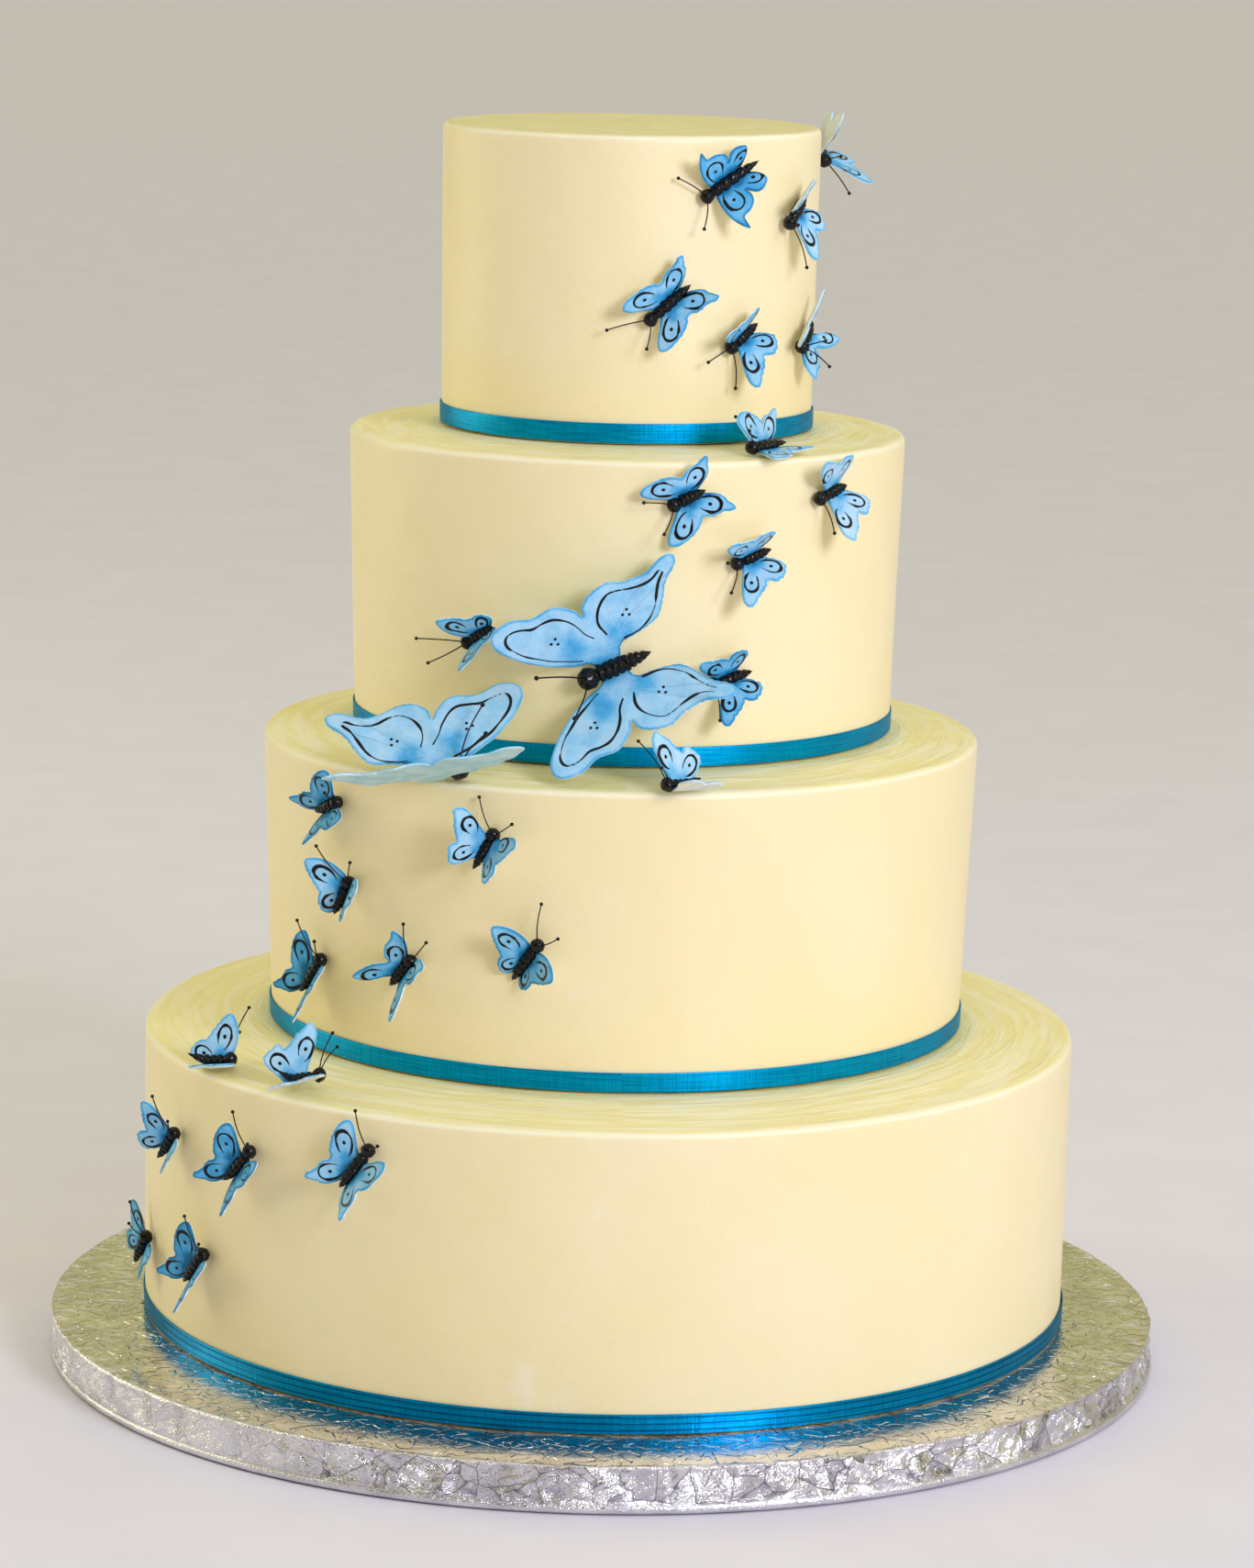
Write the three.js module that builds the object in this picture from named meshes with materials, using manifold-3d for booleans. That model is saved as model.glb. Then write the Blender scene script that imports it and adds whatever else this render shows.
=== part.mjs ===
// A four-tier wedding cake on its foil-covered board, dressed with sugar butterflies.
// Millimetres, +Z up, front towards -Y. The origin is the centre of the board's underside.
import * as THREE from "three";
import Module from "manifold-3d";
import { mergeVertices } from "three/addons/utils/BufferGeometryUtils.js";

// Driving dimensions.
const BOARD_RADIUS = 228.5;
const BOARD_HEIGHT = 19;
const BOARD_EDGE_ROUND = 2;
const TIER_PITCH = 121.5;
const REST_GAP = 0.3;
const REST_SPARE = 0.08;
const RIM_ROUND = 3;
const RIBBON_WIDTH = 7.8;
const RIBBON_THICKNESS = 0.5;
const ROUND_SEGMENTS = 42;
const SEAT_MARGIN = 5;
const TOP_SEAT = 40;

// Each tier leans out a little towards its top and sits slightly off the board's centre. Its top
// is level under the next tier, and falls a little from there to the rim.
const TIERS = [
  { radius: 189.3, flare: 0.5, shift: 0.5, fall: 3.2 },
  { radius: 140.8, flare: 4, shift: 3, fall: 3 },
  { radius: 108.4, flare: 3.3, shift: 3.3, fall: 1.7 },
  { radius: 74.3, flare: 1.2, shift: 2.6, fall: 1.5 },
];

// Sugar paste wings are rolled to one thickness; a wing leaves the fold at the body.
const WING_THICKNESS = 1.1;
const WING_CUP = 0.0016;
const FOLD_RISE = 0.4;
const HEAD_RISE = 0.5;

// The rolled bodies: the abdomen's largest radius, the head's radius, how far the body's middle
// lies above the bottom of the fold, and the sides of its rings.
const SMALL_BODY = { girth: 2.6, headRadius: 2.9, rise: 2, sides: 6 };
const LARGE_BODY = { girth: 3.6, headRadius: 4.4, rise: 3, sides: 12 };

const FEELER_RADIUS = 0.28;
const FEELER_BEAD_RADIUS = 0.75;
const FEELER_SIDES = 4;
const LARGE_FEELER_SCALE = 1.3;

const DEG = Math.PI / 180;

const icing = new THREE.MeshStandardMaterial({ name: "icing", color: 0xead9a4, roughness: 0.55 });
const satin = new THREE.MeshStandardMaterial({ name: "ribbon", color: 0x0a78aa, roughness: 0.35 });
const foil = new THREE.MeshStandardMaterial({ name: "foil", color: 0xc9c8cf, roughness: 0.25, metalness: 1 });
const wingPaste = new THREE.MeshStandardMaterial({ name: "wing_paste", color: 0x8fc3e6, roughness: 0.6 });
const bodyPaste = new THREE.MeshStandardMaterial({ name: "body_paste", color: 0x0c090a, roughness: 0.25 });

const wasm = await Module();
wasm.setup();

// Joining leaves slivers; edges shorter than this are closed up again.
const SLIVER = 0.11;

// A closed three.js geometry as a solid that can be joined to others.
function solidOf(geometry) {
  const bare = geometry.clone();
  bare.deleteAttribute("normal");
  bare.deleteAttribute("uv");
  const welded = mergeVertices(bare, 1e-4);
  return new wasm.Manifold(new wasm.Mesh({
    numProp: 3,
    vertProperties: new Float32Array(welded.attributes.position.array),
    triVerts: new Uint32Array(welded.index.array),
  }));
}

// A cut can leave a scrap of wing behind the body; only the largest piece is kept.
function largestOf(solid) {
  return solid.decompose().reduce((best, piece) => (piece.volume() > best.volume() ? piece : best));
}

function geometryOf(solid) {
  const mesh = solid.getMesh();
  const geometry = new THREE.BufferGeometry();
  geometry.setAttribute("position", new THREE.BufferAttribute(new Float32Array(mesh.vertProperties), 3));
  geometry.setIndex(new THREE.BufferAttribute(new Uint32Array(mesh.triVerts), 1));
  return geometry;
}

// A solid of revolution about +Z from [radius, height] points, listed from the bottom up.
function turned(profile, segments = ROUND_SEGMENTS) {
  const points = profile.map(([radius, height]) => new THREE.Vector2(radius, height));
  const geometry = new THREE.LatheGeometry(points, segments);
  geometry.rotateX(90 * DEG);
  return geometryOf(solidOf(geometry));
}

// The board is a thick round card drum, so its edges are only just rounded.
function boardGeometry() {
  const inner = BOARD_RADIUS - BOARD_EDGE_ROUND;
  return turned([
    [0, 0],
    [inner, 0],
    [BOARD_RADIUS, BOARD_EDGE_ROUND],
    [BOARD_RADIUS, BOARD_HEIGHT - BOARD_EDGE_ROUND / 2],
    [BOARD_RADIUS - BOARD_EDGE_ROUND / 2, BOARD_HEIGHT],
    [0, BOARD_HEIGHT],
  ]);
}

function tierFloor(level) {
  return BOARD_HEIGHT + level * TIER_PITCH + REST_GAP;
}

function tierTop(level) {
  return BOARD_HEIGHT + (level + 1) * TIER_PITCH;
}

function tierRadius(level, height) {
  const { radius, flare } = TIERS[level];
  return radius + flare * height / TIER_PITCH;
}

// The level part of a tier's top, which the next tier stands on.
function seatRadius(level) {
  return level + 1 < TIERS.length ? TIERS[level + 1].radius + SEAT_MARGIN : TOP_SEAT;
}

// The height of a tier's top at a distance from its axis.
function topHeight(level, reach) {
  const seat = seatRadius(level);
  const rim = tierRadius(level, TIER_PITCH) - RIM_ROUND;
  const share = THREE.MathUtils.clamp((reach - seat) / (rim - seat), 0, 1);
  return tierTop(level) - TIERS[level].fall * share;
}

// A covered tier has a plain wall, leaning out, and a rounded rim.
function tierGeometry(level) {
  const height = TIER_PITCH - REST_GAP;
  const rim = height - TIERS[level].fall;
  const edge = tierRadius(level, TIER_PITCH);
  const half = RIM_ROUND * Math.SQRT1_2;
  return turned([
    [0, 0],
    [tierRadius(level, 0), 0],
    [edge, rim - RIM_ROUND],
    [edge - RIM_ROUND + half, rim - RIM_ROUND + half],
    [edge - RIM_ROUND, rim],
    [seatRadius(level), height],
    [0, height],
  ]);
}

// A ribbon is a closed band around the foot of its tier.
function ribbonGeometry(level) {
  const foot = tierRadius(level, 0) + REST_GAP;
  const head = tierRadius(level, RIBBON_WIDTH) + REST_GAP;
  return turned([
    [foot, 0],
    [foot + RIBBON_THICKNESS, 0],
    [head + RIBBON_THICKNESS, RIBBON_WIDTH],
    [head, RIBBON_WIDTH],
    [foot, 0],
  ]);
}

// One wing of each cutter, flat, from the front of the fold round to its back:
// [out from the fold, forward along the fold].
const CUTTERS = {
  hook: [
    [0, 2.5], [4.6, 4.4], [11, 5.3], [17, 4.6], [22, 2], [16.8, 0.6], [15.9, -3.4], [13.8, -6.6],
    [10.8, -7.9], [8.3, -7.4], [11.6, -10.2], [11.9, -13.6], [9.4, -17], [5.4, -15.8], [2, -12], [0, -10],
  ],
  scallop: [
    [0, 3], [5.2, 5.6], [11.2, 10.2], [17, 13.4], [20.4, 13], [20.6, 10.4], [18.4, 6.4], [16.6, 2.6],
    [13.8, -1.2], [15.8, -3.6], [15.8, -6.6], [13.6, -9.8], [10.6, -11.6], [6.6, -9.6], [3.6, -6.6], [0, -4.5],
  ],
  tail: [
    [0, 2.5], [4.2, 5.2], [9.2, 11], [13, 13.3], [15.4, 10.4], [15.2, 4.4], [13, -1.2], [10.4, -4.6],
    [12.2, -8], [12.3, -12], [14, -16], [12.9, -17.7], [9.4, -16.2], [6.2, -15.2], [3.4, -12], [0, -6],
  ],
  leaf: [
    [0, 3], [2.8, 7.5], [6, 12], [9.4, 13.6], [13.2, 13.8], [12.2, 10], [12.4, 6.2], [10.5, 1.8],
    [7.8, -0.2], [12, -4.2], [14.6, -8.6], [16.2, -13.8], [14, -14.4], [9.4, -11.9], [5, -7], [0, -4],
  ],
  fan: [
    [0, 2.5], [6, 5], [12, 8.6], [18, 10.8], [22.2, 9.2], [20.4, 6], [19, 3.2], [16.6, 0.4],
    [14.4, -2.4], [16.6, -4.8], [15.2, -8], [12.6, -11.4], [9, -10.8], [4.6, -7.6], [0, -4.5],
  ],
  angular: [
    [0, 3], [4, 6.6], [10.5, 9.2], [16.4, 9], [20.2, 7], [18.8, 3.6], [14.4, -0.8], [11, -3.6],
    [10.2, -7], [8.4, -9.6], [6, -10.8], [3, -9.8], [0, -5],
  ],
  large: [
    [0, 4], [5.6, 6.8], [8.4, 14.6], [14.6, 25], [22.8, 33.4], [30.8, 38], [36.8, 36.4], [38.6, 28.8],
    [35.4, 20.2], [36, 11], [31.4, 4.6], [26.8, 2], [31.4, 0.6], [35, -4.6], [35.6, -11.5], [33, -18],
    [32.6, -26], [36, -34], [35.4, -38.8], [31.2, -38.8], [25, -32.6], [17.6, -28.6], [11.6, -23.8],
    [9.6, -14.5], [8, -7.4], [0, -4.4],
  ],
};

// Where every butterfly sits. azimuth is measured round the cake from the front, positive to the
// right; height is up the wall from the tier's foot, or, on a ledge, the distance from the tier's
// axis. heading turns the head from the right-hand tangent, folds lift the left and right wing,
// nose tips the head up, skew turns the body in its fold. body gives the head's centre ahead of
// the wing roots and the tail behind them. feelers give [spread, lift, length], left then right.
const BUTTERFLIES = [
  {
    cut: "hook", tier: 4, azimuth: 23.8, height: 100.7, heading: -144, folds: [38, 28],
    size: 0.98, nose: -5, skew: -2, body: [6.7, 18.2], tailLift: 1.3,
    feelers: [[41, 25, 13.5], [-64, -4, 14]],
  },
  {
    cut: "fan", tier: 4, azimuth: 101.1, height: 107.9, heading: -160, folds: [72, 16],
    size: 1.06, nose: -6, body: [4.9, 11], feelers: [[35, 32, 17.5], [-31, 17, 14]],
  },
  {
    cut: "scallop", tier: 4, azimuth: 53.6, height: 89.6, heading: -150, folds: [35, 45],
    size: 0.92, nose: 8, skew: 3, body: [7.8, 10.9], tailLift: 0.1,
    feelers: [[62, 18, 18.5], [-30, 40, 12]],
  },
  {
    cut: "tail", tier: 4, azimuth: 7.9, height: 54.1, heading: -137, folds: [41, 32],
    size: 1.02, nose: 1, skew: -2, body: [7.3, 13.4], tailLift: 0.5,
    feelers: [[34, 35, 13.5], [-27, -4, 17.5]],
  },
  {
    cut: "scallop", tier: 4, azimuth: 31.9, height: 41.3, heading: -142, folds: [42, 51],
    size: 0.94, nose: 5, skew: -3, body: [5.6, 9.9], tailLift: 1.1,
    feelers: [[56, 6, 16], [-12, 3, 13.5]],
  },
  {
    cut: "leaf", tier: 4, azimuth: 62.2, height: 39.3, heading: -145, folds: [37, 35],
    size: 0.99, nose: 5, skew: -1, body: [5.9, 11], feelers: [[63, 54, 13.5], [-59, 60, 14]],
  },
  {
    cut: "tail", tier: 3, ledge: true, azimuth: 27.8, height: 101.2, heading: -148, folds: [0, 79],
    size: 1.06, nose: -2, skew: -11, body: [4.4, 17.6], feelers: [[30, 40, 12], [-32, 60, 14]],
  },
  {
    cut: "tail", tier: 3, azimuth: 8.3, height: 105, heading: -149, folds: [20, 27],
    size: 0.96, nose: -5, skew: -5, body: [3.3, 10.2], tailLift: 0.1,
    feelers: [[40, 36, 13.5], [-34, 23, 13.5]],
  },
  {
    cut: "fan", tier: 3, azimuth: 41.7, height: 105.6, heading: -158, folds: [48, 34],
    size: 1.02, nose: 3, skew: -6, body: [6.9, 8.5], tailLift: 1.2,
    feelers: [[66, 35, 15.5], [-30, 40, 12]],
  },
  {
    cut: "scallop", tier: 3, azimuth: 22.3, height: 82.1, heading: -158, folds: [46, 52],
    size: 0.97, nose: 4, skew: -3, body: [5.4, 10], tailLift: 1.4,
    feelers: [[41, 27, 13.5], [-28, 44, 13.5]],
  },
  {
    cut: "angular", tier: 3, azimuth: -31.5, height: 49.7, heading: -145, folds: [58, 47],
    size: 0.92, nose: -9, skew: -5, body: [7, 8.6], tailLift: 1.3,
    feelers: [[2, 34, 17.5], [-38, 38, 20]],
  },
  {
    cut: "large", tier: 3, azimuth: -4.8, height: 39.5, heading: -154, folds: [41, 24],
    nose: 8, skew: -2, body: [9.9, 16.6], feelers: [[41, 50, 23], [-27, 26, 23]],
  },
  {
    cut: "scallop", tier: 3, azimuth: 18.6, height: 34.9, heading: -156, folds: [46, 41],
    size: 0.91, nose: 4, skew: -9, body: [6.1, 11], tailLift: 0.4,
    feelers: [[67, 37, 16], [-30, 30, 12]],
  },
  {
    cut: "fan", tier: 2, ledge: true, azimuth: 6.4, height: 144.2, heading: -153, folds: [18, 75],
    size: 1.02, nose: 5, skew: 2, body: [5.2, 10.9], tailLift: 3,
    feelers: [[35, 35, 13], [-54, 49, 20]],
  },
  {
    cut: "large", tier: 2, ledge: true, azimuth: -31.7, height: 146, heading: 29, folds: [48, 20],
    nose: 10, skew: -4, body: [10.3, 10], tailLift: 4, feelers: [[46, 52, 27], [-27, 41, 20]],
  },
  {
    cut: "tail", tier: 2, azimuth: -52.1, height: 102.3, heading: 30, folds: [38, 41],
    size: 0.96, nose: 2, skew: -8, body: [3.9, 11.7], tailLift: 0.5,
    feelers: [[30, 50, 11], [-32, 50, 11]],
  },
  {
    cut: "fan", tier: 2, azimuth: -22.3, height: 95.9, heading: 64, folds: [51, 51],
    size: 1.03, nose: -5, skew: -2, body: [4.5, 10.9], tailLift: 1.3,
    feelers: [[51, 1, 15.5], [-32, 32, 13.5]],
  },
  {
    cut: "angular", tier: 2, azimuth: -48.7, height: 68.8, heading: 73, folds: [49, 39],
    size: 1.01, nose: -10, skew: -5, body: [3.9, 10.4], tailLift: 1,
    feelers: [[54, 39, 19.5], [-16, 34, 13.5]],
  },
  {
    cut: "tail", tier: 2, azimuth: -57.4, height: 31.8, heading: 57, folds: [27, 40],
    size: 0.98, nose: -8, body: [7.7, 9.6], tailLift: 1.7, feelers: [[62, 24, 18], [-3, 39, 13.5]],
  },
  {
    cut: "leaf", tier: 2, azimuth: -37.2, height: 41.9, heading: 52, folds: [37, 42],
    nose: 3, skew: -5, body: [6.1, 9.2], tailLift: 0.5, feelers: [[39, 18, 17], [-3, 8, 13.5]],
  },
  {
    cut: "angular", tier: 2, azimuth: -15.8, height: 52.8, heading: 56, folds: [28, 45],
    size: 0.99, nose: 13, skew: -2, body: [7.7, 11.5], tailLift: 0.4,
    feelers: [[30, -5, 17], [-24, 23, 13.5]],
  },
  {
    cut: "angular", tier: 1, ledge: true, azimuth: -59.3, height: 182.5, heading: 49, folds: [83, 10],
    size: 0.99, nose: 6, skew: -3, body: [5.1, 12.1], tailLift: 3.6,
    feelers: [[68, 49, 23], [82, 36, 14]],
  },
  {
    cut: "fan", tier: 1, ledge: true, azimuth: -44.6, height: 177.1, heading: 47, folds: [76, 17],
    size: 1.01, nose: 13, skew: -7, body: [8.2, 6.9], tailLift: 5,
    feelers: [[59, 42, 18.5], [47, 32, 14]],
  },
  {
    cut: "scallop", tier: 1, azimuth: -65.5, height: 85.7, heading: 55, folds: [56, 32],
    size: 0.9, nose: -8, skew: -2, body: [3.8, 11.1], tailLift: 1.9,
    feelers: [[40, 36, 18.5], [-10, 36, 12]],
  },
  {
    cut: "tail", tier: 1, azimuth: -49.6, height: 88.1, heading: 52, folds: [40, 37],
    size: 1.02, nose: -4, skew: -4, body: [7.8, 10.3], tailLift: 2.4,
    feelers: [[54, 22, 17.5], [-12, 40, 12]],
  },
  {
    cut: "tail", tier: 1, azimuth: -31.8, height: 97.9, heading: 52, folds: [22, 39],
    size: 1.02, nose: -2, skew: 1, body: [8.4, 11.5], tailLift: 1.3,
    feelers: [[57, 4, 16], [-26, 40, 13.5]],
  },
  {
    cut: "fan", tier: 1, azimuth: -77, height: 32.7, heading: 66, folds: [18, 13],
    size: 0.86, nose: -14, skew: -6, body: [4, 11], feelers: [[54, 31, 15.5], [-17, 50, 13.5]],
  },
  {
    cut: "tail", tier: 1, azimuth: -58.6, height: 40.6, heading: 52, folds: [31, 40],
    nose: -6, skew: -1, body: [6.4, 11], tailLift: 1.2, feelers: [[55, 24, 17], [-10, 36, 12]],
  },
];

// One wing in the butterfly's own frame: +X forward, +Y to its left, +Z away from the icing.
// The cut-out is rolled flat, cupped a little towards its tip, and lifted about the fold.
function wingGeometry({ cut, size = 1, folds }, side) {
  const outline = CUTTERS[cut].map(([out, ahead]) => new THREE.Vector2(out * size, ahead * size));
  const spline = new THREE.SplineCurve(outline);
  const smooth = cut === "large" ? spline.getPoints(2 * (outline.length - 1)) : outline;
  const flat = new THREE.ExtrudeGeometry(new THREE.Shape(smooth), {
    depth: WING_THICKNESS,
    bevelEnabled: false,
    steps: 1,
  });
  const lift = (side > 0 ? folds[0] : folds[1]) * DEG;
  const cosine = Math.cos(lift);
  const sine = Math.sin(lift);
  const place = flat.attributes.position;
  for (let i = 0; i < place.count; i += 1) {
    const out = Math.max(place.getX(i), 0);
    const ahead = place.getY(i);
    const off = place.getZ(i) - WING_THICKNESS / 2 + WING_CUP * out * out * 8 / (8 + size * 12);
    place.setXYZ(i, ahead, side * (out * cosine - off * sine), out * sine + off * cosine);
  }
  if (side > 0) {
    flipFaces(flat);
  }
  return flat;
}

// Reverses every triangle, for a shape that was mirrored.
function flipFaces(geometry) {
  const place = geometry.attributes.position;
  for (let i = 0; i < place.count; i += 3) {
    const second = new THREE.Vector3().fromBufferAttribute(place, i + 1);
    const third = new THREE.Vector3().fromBufferAttribute(place, i + 2);
    place.setXYZ(i + 1, third.x, third.y, third.z);
    place.setXYZ(i + 2, second.x, second.y, second.z);
  }
}

function bodySize(cut) {
  return cut === "large" ? LARGE_BODY : SMALL_BODY;
}

// The rolled body lies in the fold: a ball for the head, a thorax, and an abdomen that tapers
// to the tail. spare thickens the whole body.
function bodyGeometry({ cut, body, skew = 0, tailLift = 0 }, spare = 0) {
  const { rise, sides } = bodySize(cut);
  const girth = bodySize(cut).girth + spare;
  const headRadius = bodySize(cut).headRadius + spare;
  const [ahead, behind] = body;
  const neck = ahead - bodySize(cut).headRadius * 0.9;
  const profile = [
    [0, -behind - spare],
    [girth * 0.55, -behind * 0.8],
    [girth, -behind * 0.2],
    [headRadius * 0.62, neck],
    [headRadius, ahead],
    [headRadius * 0.6, ahead + headRadius * 0.8],
    [0, ahead + headRadius],
  ];
  const points = profile.map(([radius, along]) => new THREE.Vector2(radius, along));
  const geometry = new THREE.LatheGeometry(points, sides);
  geometry.rotateZ(-90 * DEG);
  const place = geometry.attributes.position;
  for (let i = 0; i < place.count; i += 1) {
    const along = place.getX(i);
    const tail = Math.min(along / behind, 0);
    const head = along > neck ? HEAD_RISE : 0;
    place.setZ(i, place.getZ(i) + rise + head + tailLift * tail * tail);
  }
  geometry.rotateZ(skew * DEG);
  return geometry;
}

// A wire feeler with a bead at its tip, from the middle of the head.
function feelerSolid({ cut, body, skew = 0 }, [spread, lift, length]) {
  const thick = cut === "large" ? LARGE_FEELER_SCALE : 1;
  const wire = FEELER_RADIUS * thick;
  const bead = FEELER_BEAD_RADIUS * thick;
  const geometry = turned([
    [0, 0],
    [wire, 0],
    [wire, length - bead],
    [bead, length],
    [0, length + bead],
  ], FEELER_SIDES);
  geometry.rotateY(90 * DEG);
  const turn = new THREE.Matrix4().makeRotationZ(spread * DEG);
  turn.multiply(new THREE.Matrix4().makeRotationY(-lift * DEG));
  turn.setPosition(body[0], 0, bodySize(cut).rise + HEAD_RISE);
  turn.premultiply(new THREE.Matrix4().makeRotationZ(skew * DEG));
  geometry.applyMatrix4(turn);
  return solidOf(geometry);
}

// The frame of a butterfly on its tier: +X forward, +Y to its left, +Z away from the icing.
function perch({ tier, ledge = false, azimuth, height, heading, nose = 0 }) {
  const level = tier - 1;
  const round = azimuth * DEG;
  const tangent = new THREE.Vector3(Math.cos(round), Math.sin(round), 0);
  const outward = new THREE.Vector3(Math.sin(round), -Math.cos(round), 0);
  const up = new THREE.Vector3(0, 0, 1);
  const across = ledge ? outward.clone().negate() : up;
  const away = ledge ? up : outward;
  const reach = ledge ? height : tierRadius(level, height);
  const foot = ledge ? tierTop(level) : BOARD_HEIGHT + level * TIER_PITCH + height;
  const forward = tangent.multiplyScalar(Math.cos(heading * DEG));
  forward.addScaledVector(across, Math.sin(heading * DEG));
  const left = new THREE.Vector3().crossVectors(away, forward);
  const frame = new THREE.Matrix4().makeBasis(forward, left, away);
  const middle = new THREE.Vector3(TIERS[level].shift, 0, foot);
  frame.setPosition(outward.clone().multiplyScalar(reach).add(middle));
  frame.multiply(new THREE.Matrix4().makeRotationY(-nose * DEG));
  return { frame, away };
}

// How far a point stands clear of the icing that the butterfly sits on.
function clearance(point, { tier, ledge = false }) {
  const level = tier - 1;
  const fromAxis = Math.hypot(point.x - TIERS[level].shift, point.y);
  const wall = fromAxis - tierRadius(level, point.z - tierFloor(level));
  return ledge ? Math.max(point.z - topHeight(level, fromAxis), wall) : wall;
}

// Slides a butterfly off the icing until its lowest point is one rest gap clear.
function seated(butterfly, geometries) {
  const { frame, away } = perch(butterfly);
  const point = new THREE.Vector3();
  for (let round = 0; round < 3; round += 1) {
    let lowest = Infinity;
    for (const geometry of geometries) {
      const place = geometry.attributes.position;
      for (let i = 0; i < place.count; i += 1) {
        point.fromBufferAttribute(place, i).applyMatrix4(frame);
        lowest = Math.min(lowest, clearance(point, butterfly));
      }
    }
    const step = away.clone().multiplyScalar(REST_GAP + REST_SPARE - lowest);
    const slide = new THREE.Matrix4().makeTranslation(step);
    frame.premultiply(slide);
  }
  return frame;
}

const cake = new THREE.Group();

function addPiece(name, geometry, material, frame = new THREE.Matrix4()) {
  const mesh = new THREE.Mesh(geometry, material);
  mesh.name = name;
  mesh.applyMatrix4(frame);
  cake.add(mesh);
}

addPiece("board", boardGeometry(), foil);
TIERS.forEach(({ shift }, level) => {
  const place = new THREE.Matrix4().makeTranslation(shift, 0, tierFloor(level));
  addPiece(`tier_${level + 1}`, tierGeometry(level), icing, place);
  const foot = new THREE.Matrix4().makeTranslation(shift, 0, tierFloor(level) + REST_GAP);
  addPiece(`ribbon_${level + 1}`, ribbonGeometry(level), satin, foot);
});

// A small butterfly is one fused piece; a large one is a body and two wings that it holds.
BUTTERFLIES.forEach((butterfly, index) => {
  const name = `butterfly_${String(index + 1).padStart(2, "0")}`;
  const wings = [wingGeometry(butterfly, 1), wingGeometry(butterfly, -1)];
  wings.forEach((wing) => wing.translate(0, 0, FOLD_RISE));
  const rolled = bodyGeometry(butterfly);
  const frame = seated(butterfly, [...wings, rolled]);
  const feelers = butterfly.feelers.map((feeler) => feelerSolid(butterfly, feeler));
  const body = feelers.reduce((whole, feeler) => whole.add(feeler), solidOf(rolled));
  if (butterfly.cut !== "large") {
    const whole = wings.reduce((joined, wing) => joined.add(solidOf(wing)), body);
    addPiece(name, geometryOf(whole.simplify(SLIVER)), wingPaste, frame);
    return;
  }
  addPiece(`${name}_body`, geometryOf(body.simplify(SLIVER)), bodyPaste, frame);
  const roomForBody = solidOf(bodyGeometry(butterfly, 2 * REST_GAP));
  wings.forEach((wing, side) => {
    const label = side === 0 ? "left" : "right";
    const cutBack = solidOf(wing).subtract(roomForBody).simplify(SLIVER);
    addPiece(`${name}_wing_${label}`, geometryOf(largestOf(cutBack)), wingPaste, frame);
  });
});

export default cake;
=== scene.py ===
"""A four-tier wedding cake in butter cream icing, on its silver board, dressed with blue ribbons and
sugar butterflies. The sections follow the cake as it is put together, from the board upwards.

Round pieces are profiles carried round +Z: x = r sin a, y = -r cos a. A wing is a flat outline that
shrinks towards its middle in rings, above and below, and is then cupped and turned up about the
fold. A body is a profile carried round the butterfly's length, and a wire is a ring of points
carried along a curve."""
import math

import bpy
import numpy as np
from mathutils import Matrix, Vector


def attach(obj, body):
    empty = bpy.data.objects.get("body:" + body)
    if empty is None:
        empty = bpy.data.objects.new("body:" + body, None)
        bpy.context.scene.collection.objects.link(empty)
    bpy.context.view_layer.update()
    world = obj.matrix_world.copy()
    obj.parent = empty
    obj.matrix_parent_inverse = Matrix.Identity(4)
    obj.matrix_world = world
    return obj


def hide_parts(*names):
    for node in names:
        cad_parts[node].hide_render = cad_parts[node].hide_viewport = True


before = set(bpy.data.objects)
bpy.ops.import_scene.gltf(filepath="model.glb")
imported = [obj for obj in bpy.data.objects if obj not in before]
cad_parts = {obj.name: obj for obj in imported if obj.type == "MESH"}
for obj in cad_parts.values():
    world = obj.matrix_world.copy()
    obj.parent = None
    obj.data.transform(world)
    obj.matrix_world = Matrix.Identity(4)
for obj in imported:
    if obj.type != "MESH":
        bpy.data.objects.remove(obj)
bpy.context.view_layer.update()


# Board.
# A thick round card drum wrapped in silver foil paper. One embossed sheet covers the top and is
# turned down over the edge by hand, so that the strip round the side crumples into flat facets. A
# second, smooth fold of it holds the lowest 3 mm.

MM = 0.001
BOARD_RADIUS = 227.8
BOARD_HEIGHT = 19.0
EDGE_ROUND = 2.0
FOIL_STEPS = 960


def skin_faces(rings, columns):
    """Quads and triangles of a closed skin, whose points are a tip, rings of columns points and
    another tip. Quads join neighbouring rings, and triangles join each tip to its ring."""
    ring, column = np.mgrid[0:rings - 1, 0:columns]
    low, after = 1 + ring * columns, (column + 1) % columns
    quads = np.stack([low + column, low + after, low + columns + after, low + columns + column], axis=2)
    near = np.arange(columns)
    beside = (near + 1) % columns
    last = 1 + (rings - 1) * columns
    first_fan = np.stack([near * 0, 1 + beside, 1 + near], axis=1)
    last_fan = np.stack([last + near, last + beside, near * 0 + last + columns], axis=1)
    return quads.reshape(-1, 4), np.vstack([first_fan, last_fan])


def turned_mesh(profile, steps):
    """Points and faces of a profile carried round +Z. Each profile row is a radius and a height, and
    the first and last rows lie on the axis."""
    profile = np.asarray(profile, dtype=float)
    angle = np.arange(steps) * (2 * math.pi / steps)
    radius, height = profile[1:-1].T
    rings = np.stack([np.outer(radius, np.sin(angle)), -np.outer(radius, np.cos(angle)),
                      np.repeat(height[:, None], steps, axis=1)], axis=2).reshape(-1, 3)
    tips = np.array([(0, 0, profile[0, 1]), (0, 0, profile[-1, 1])])
    return np.vstack([tips[:1], rings, tips[1:]]), skin_faces(len(radius), steps)


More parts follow.
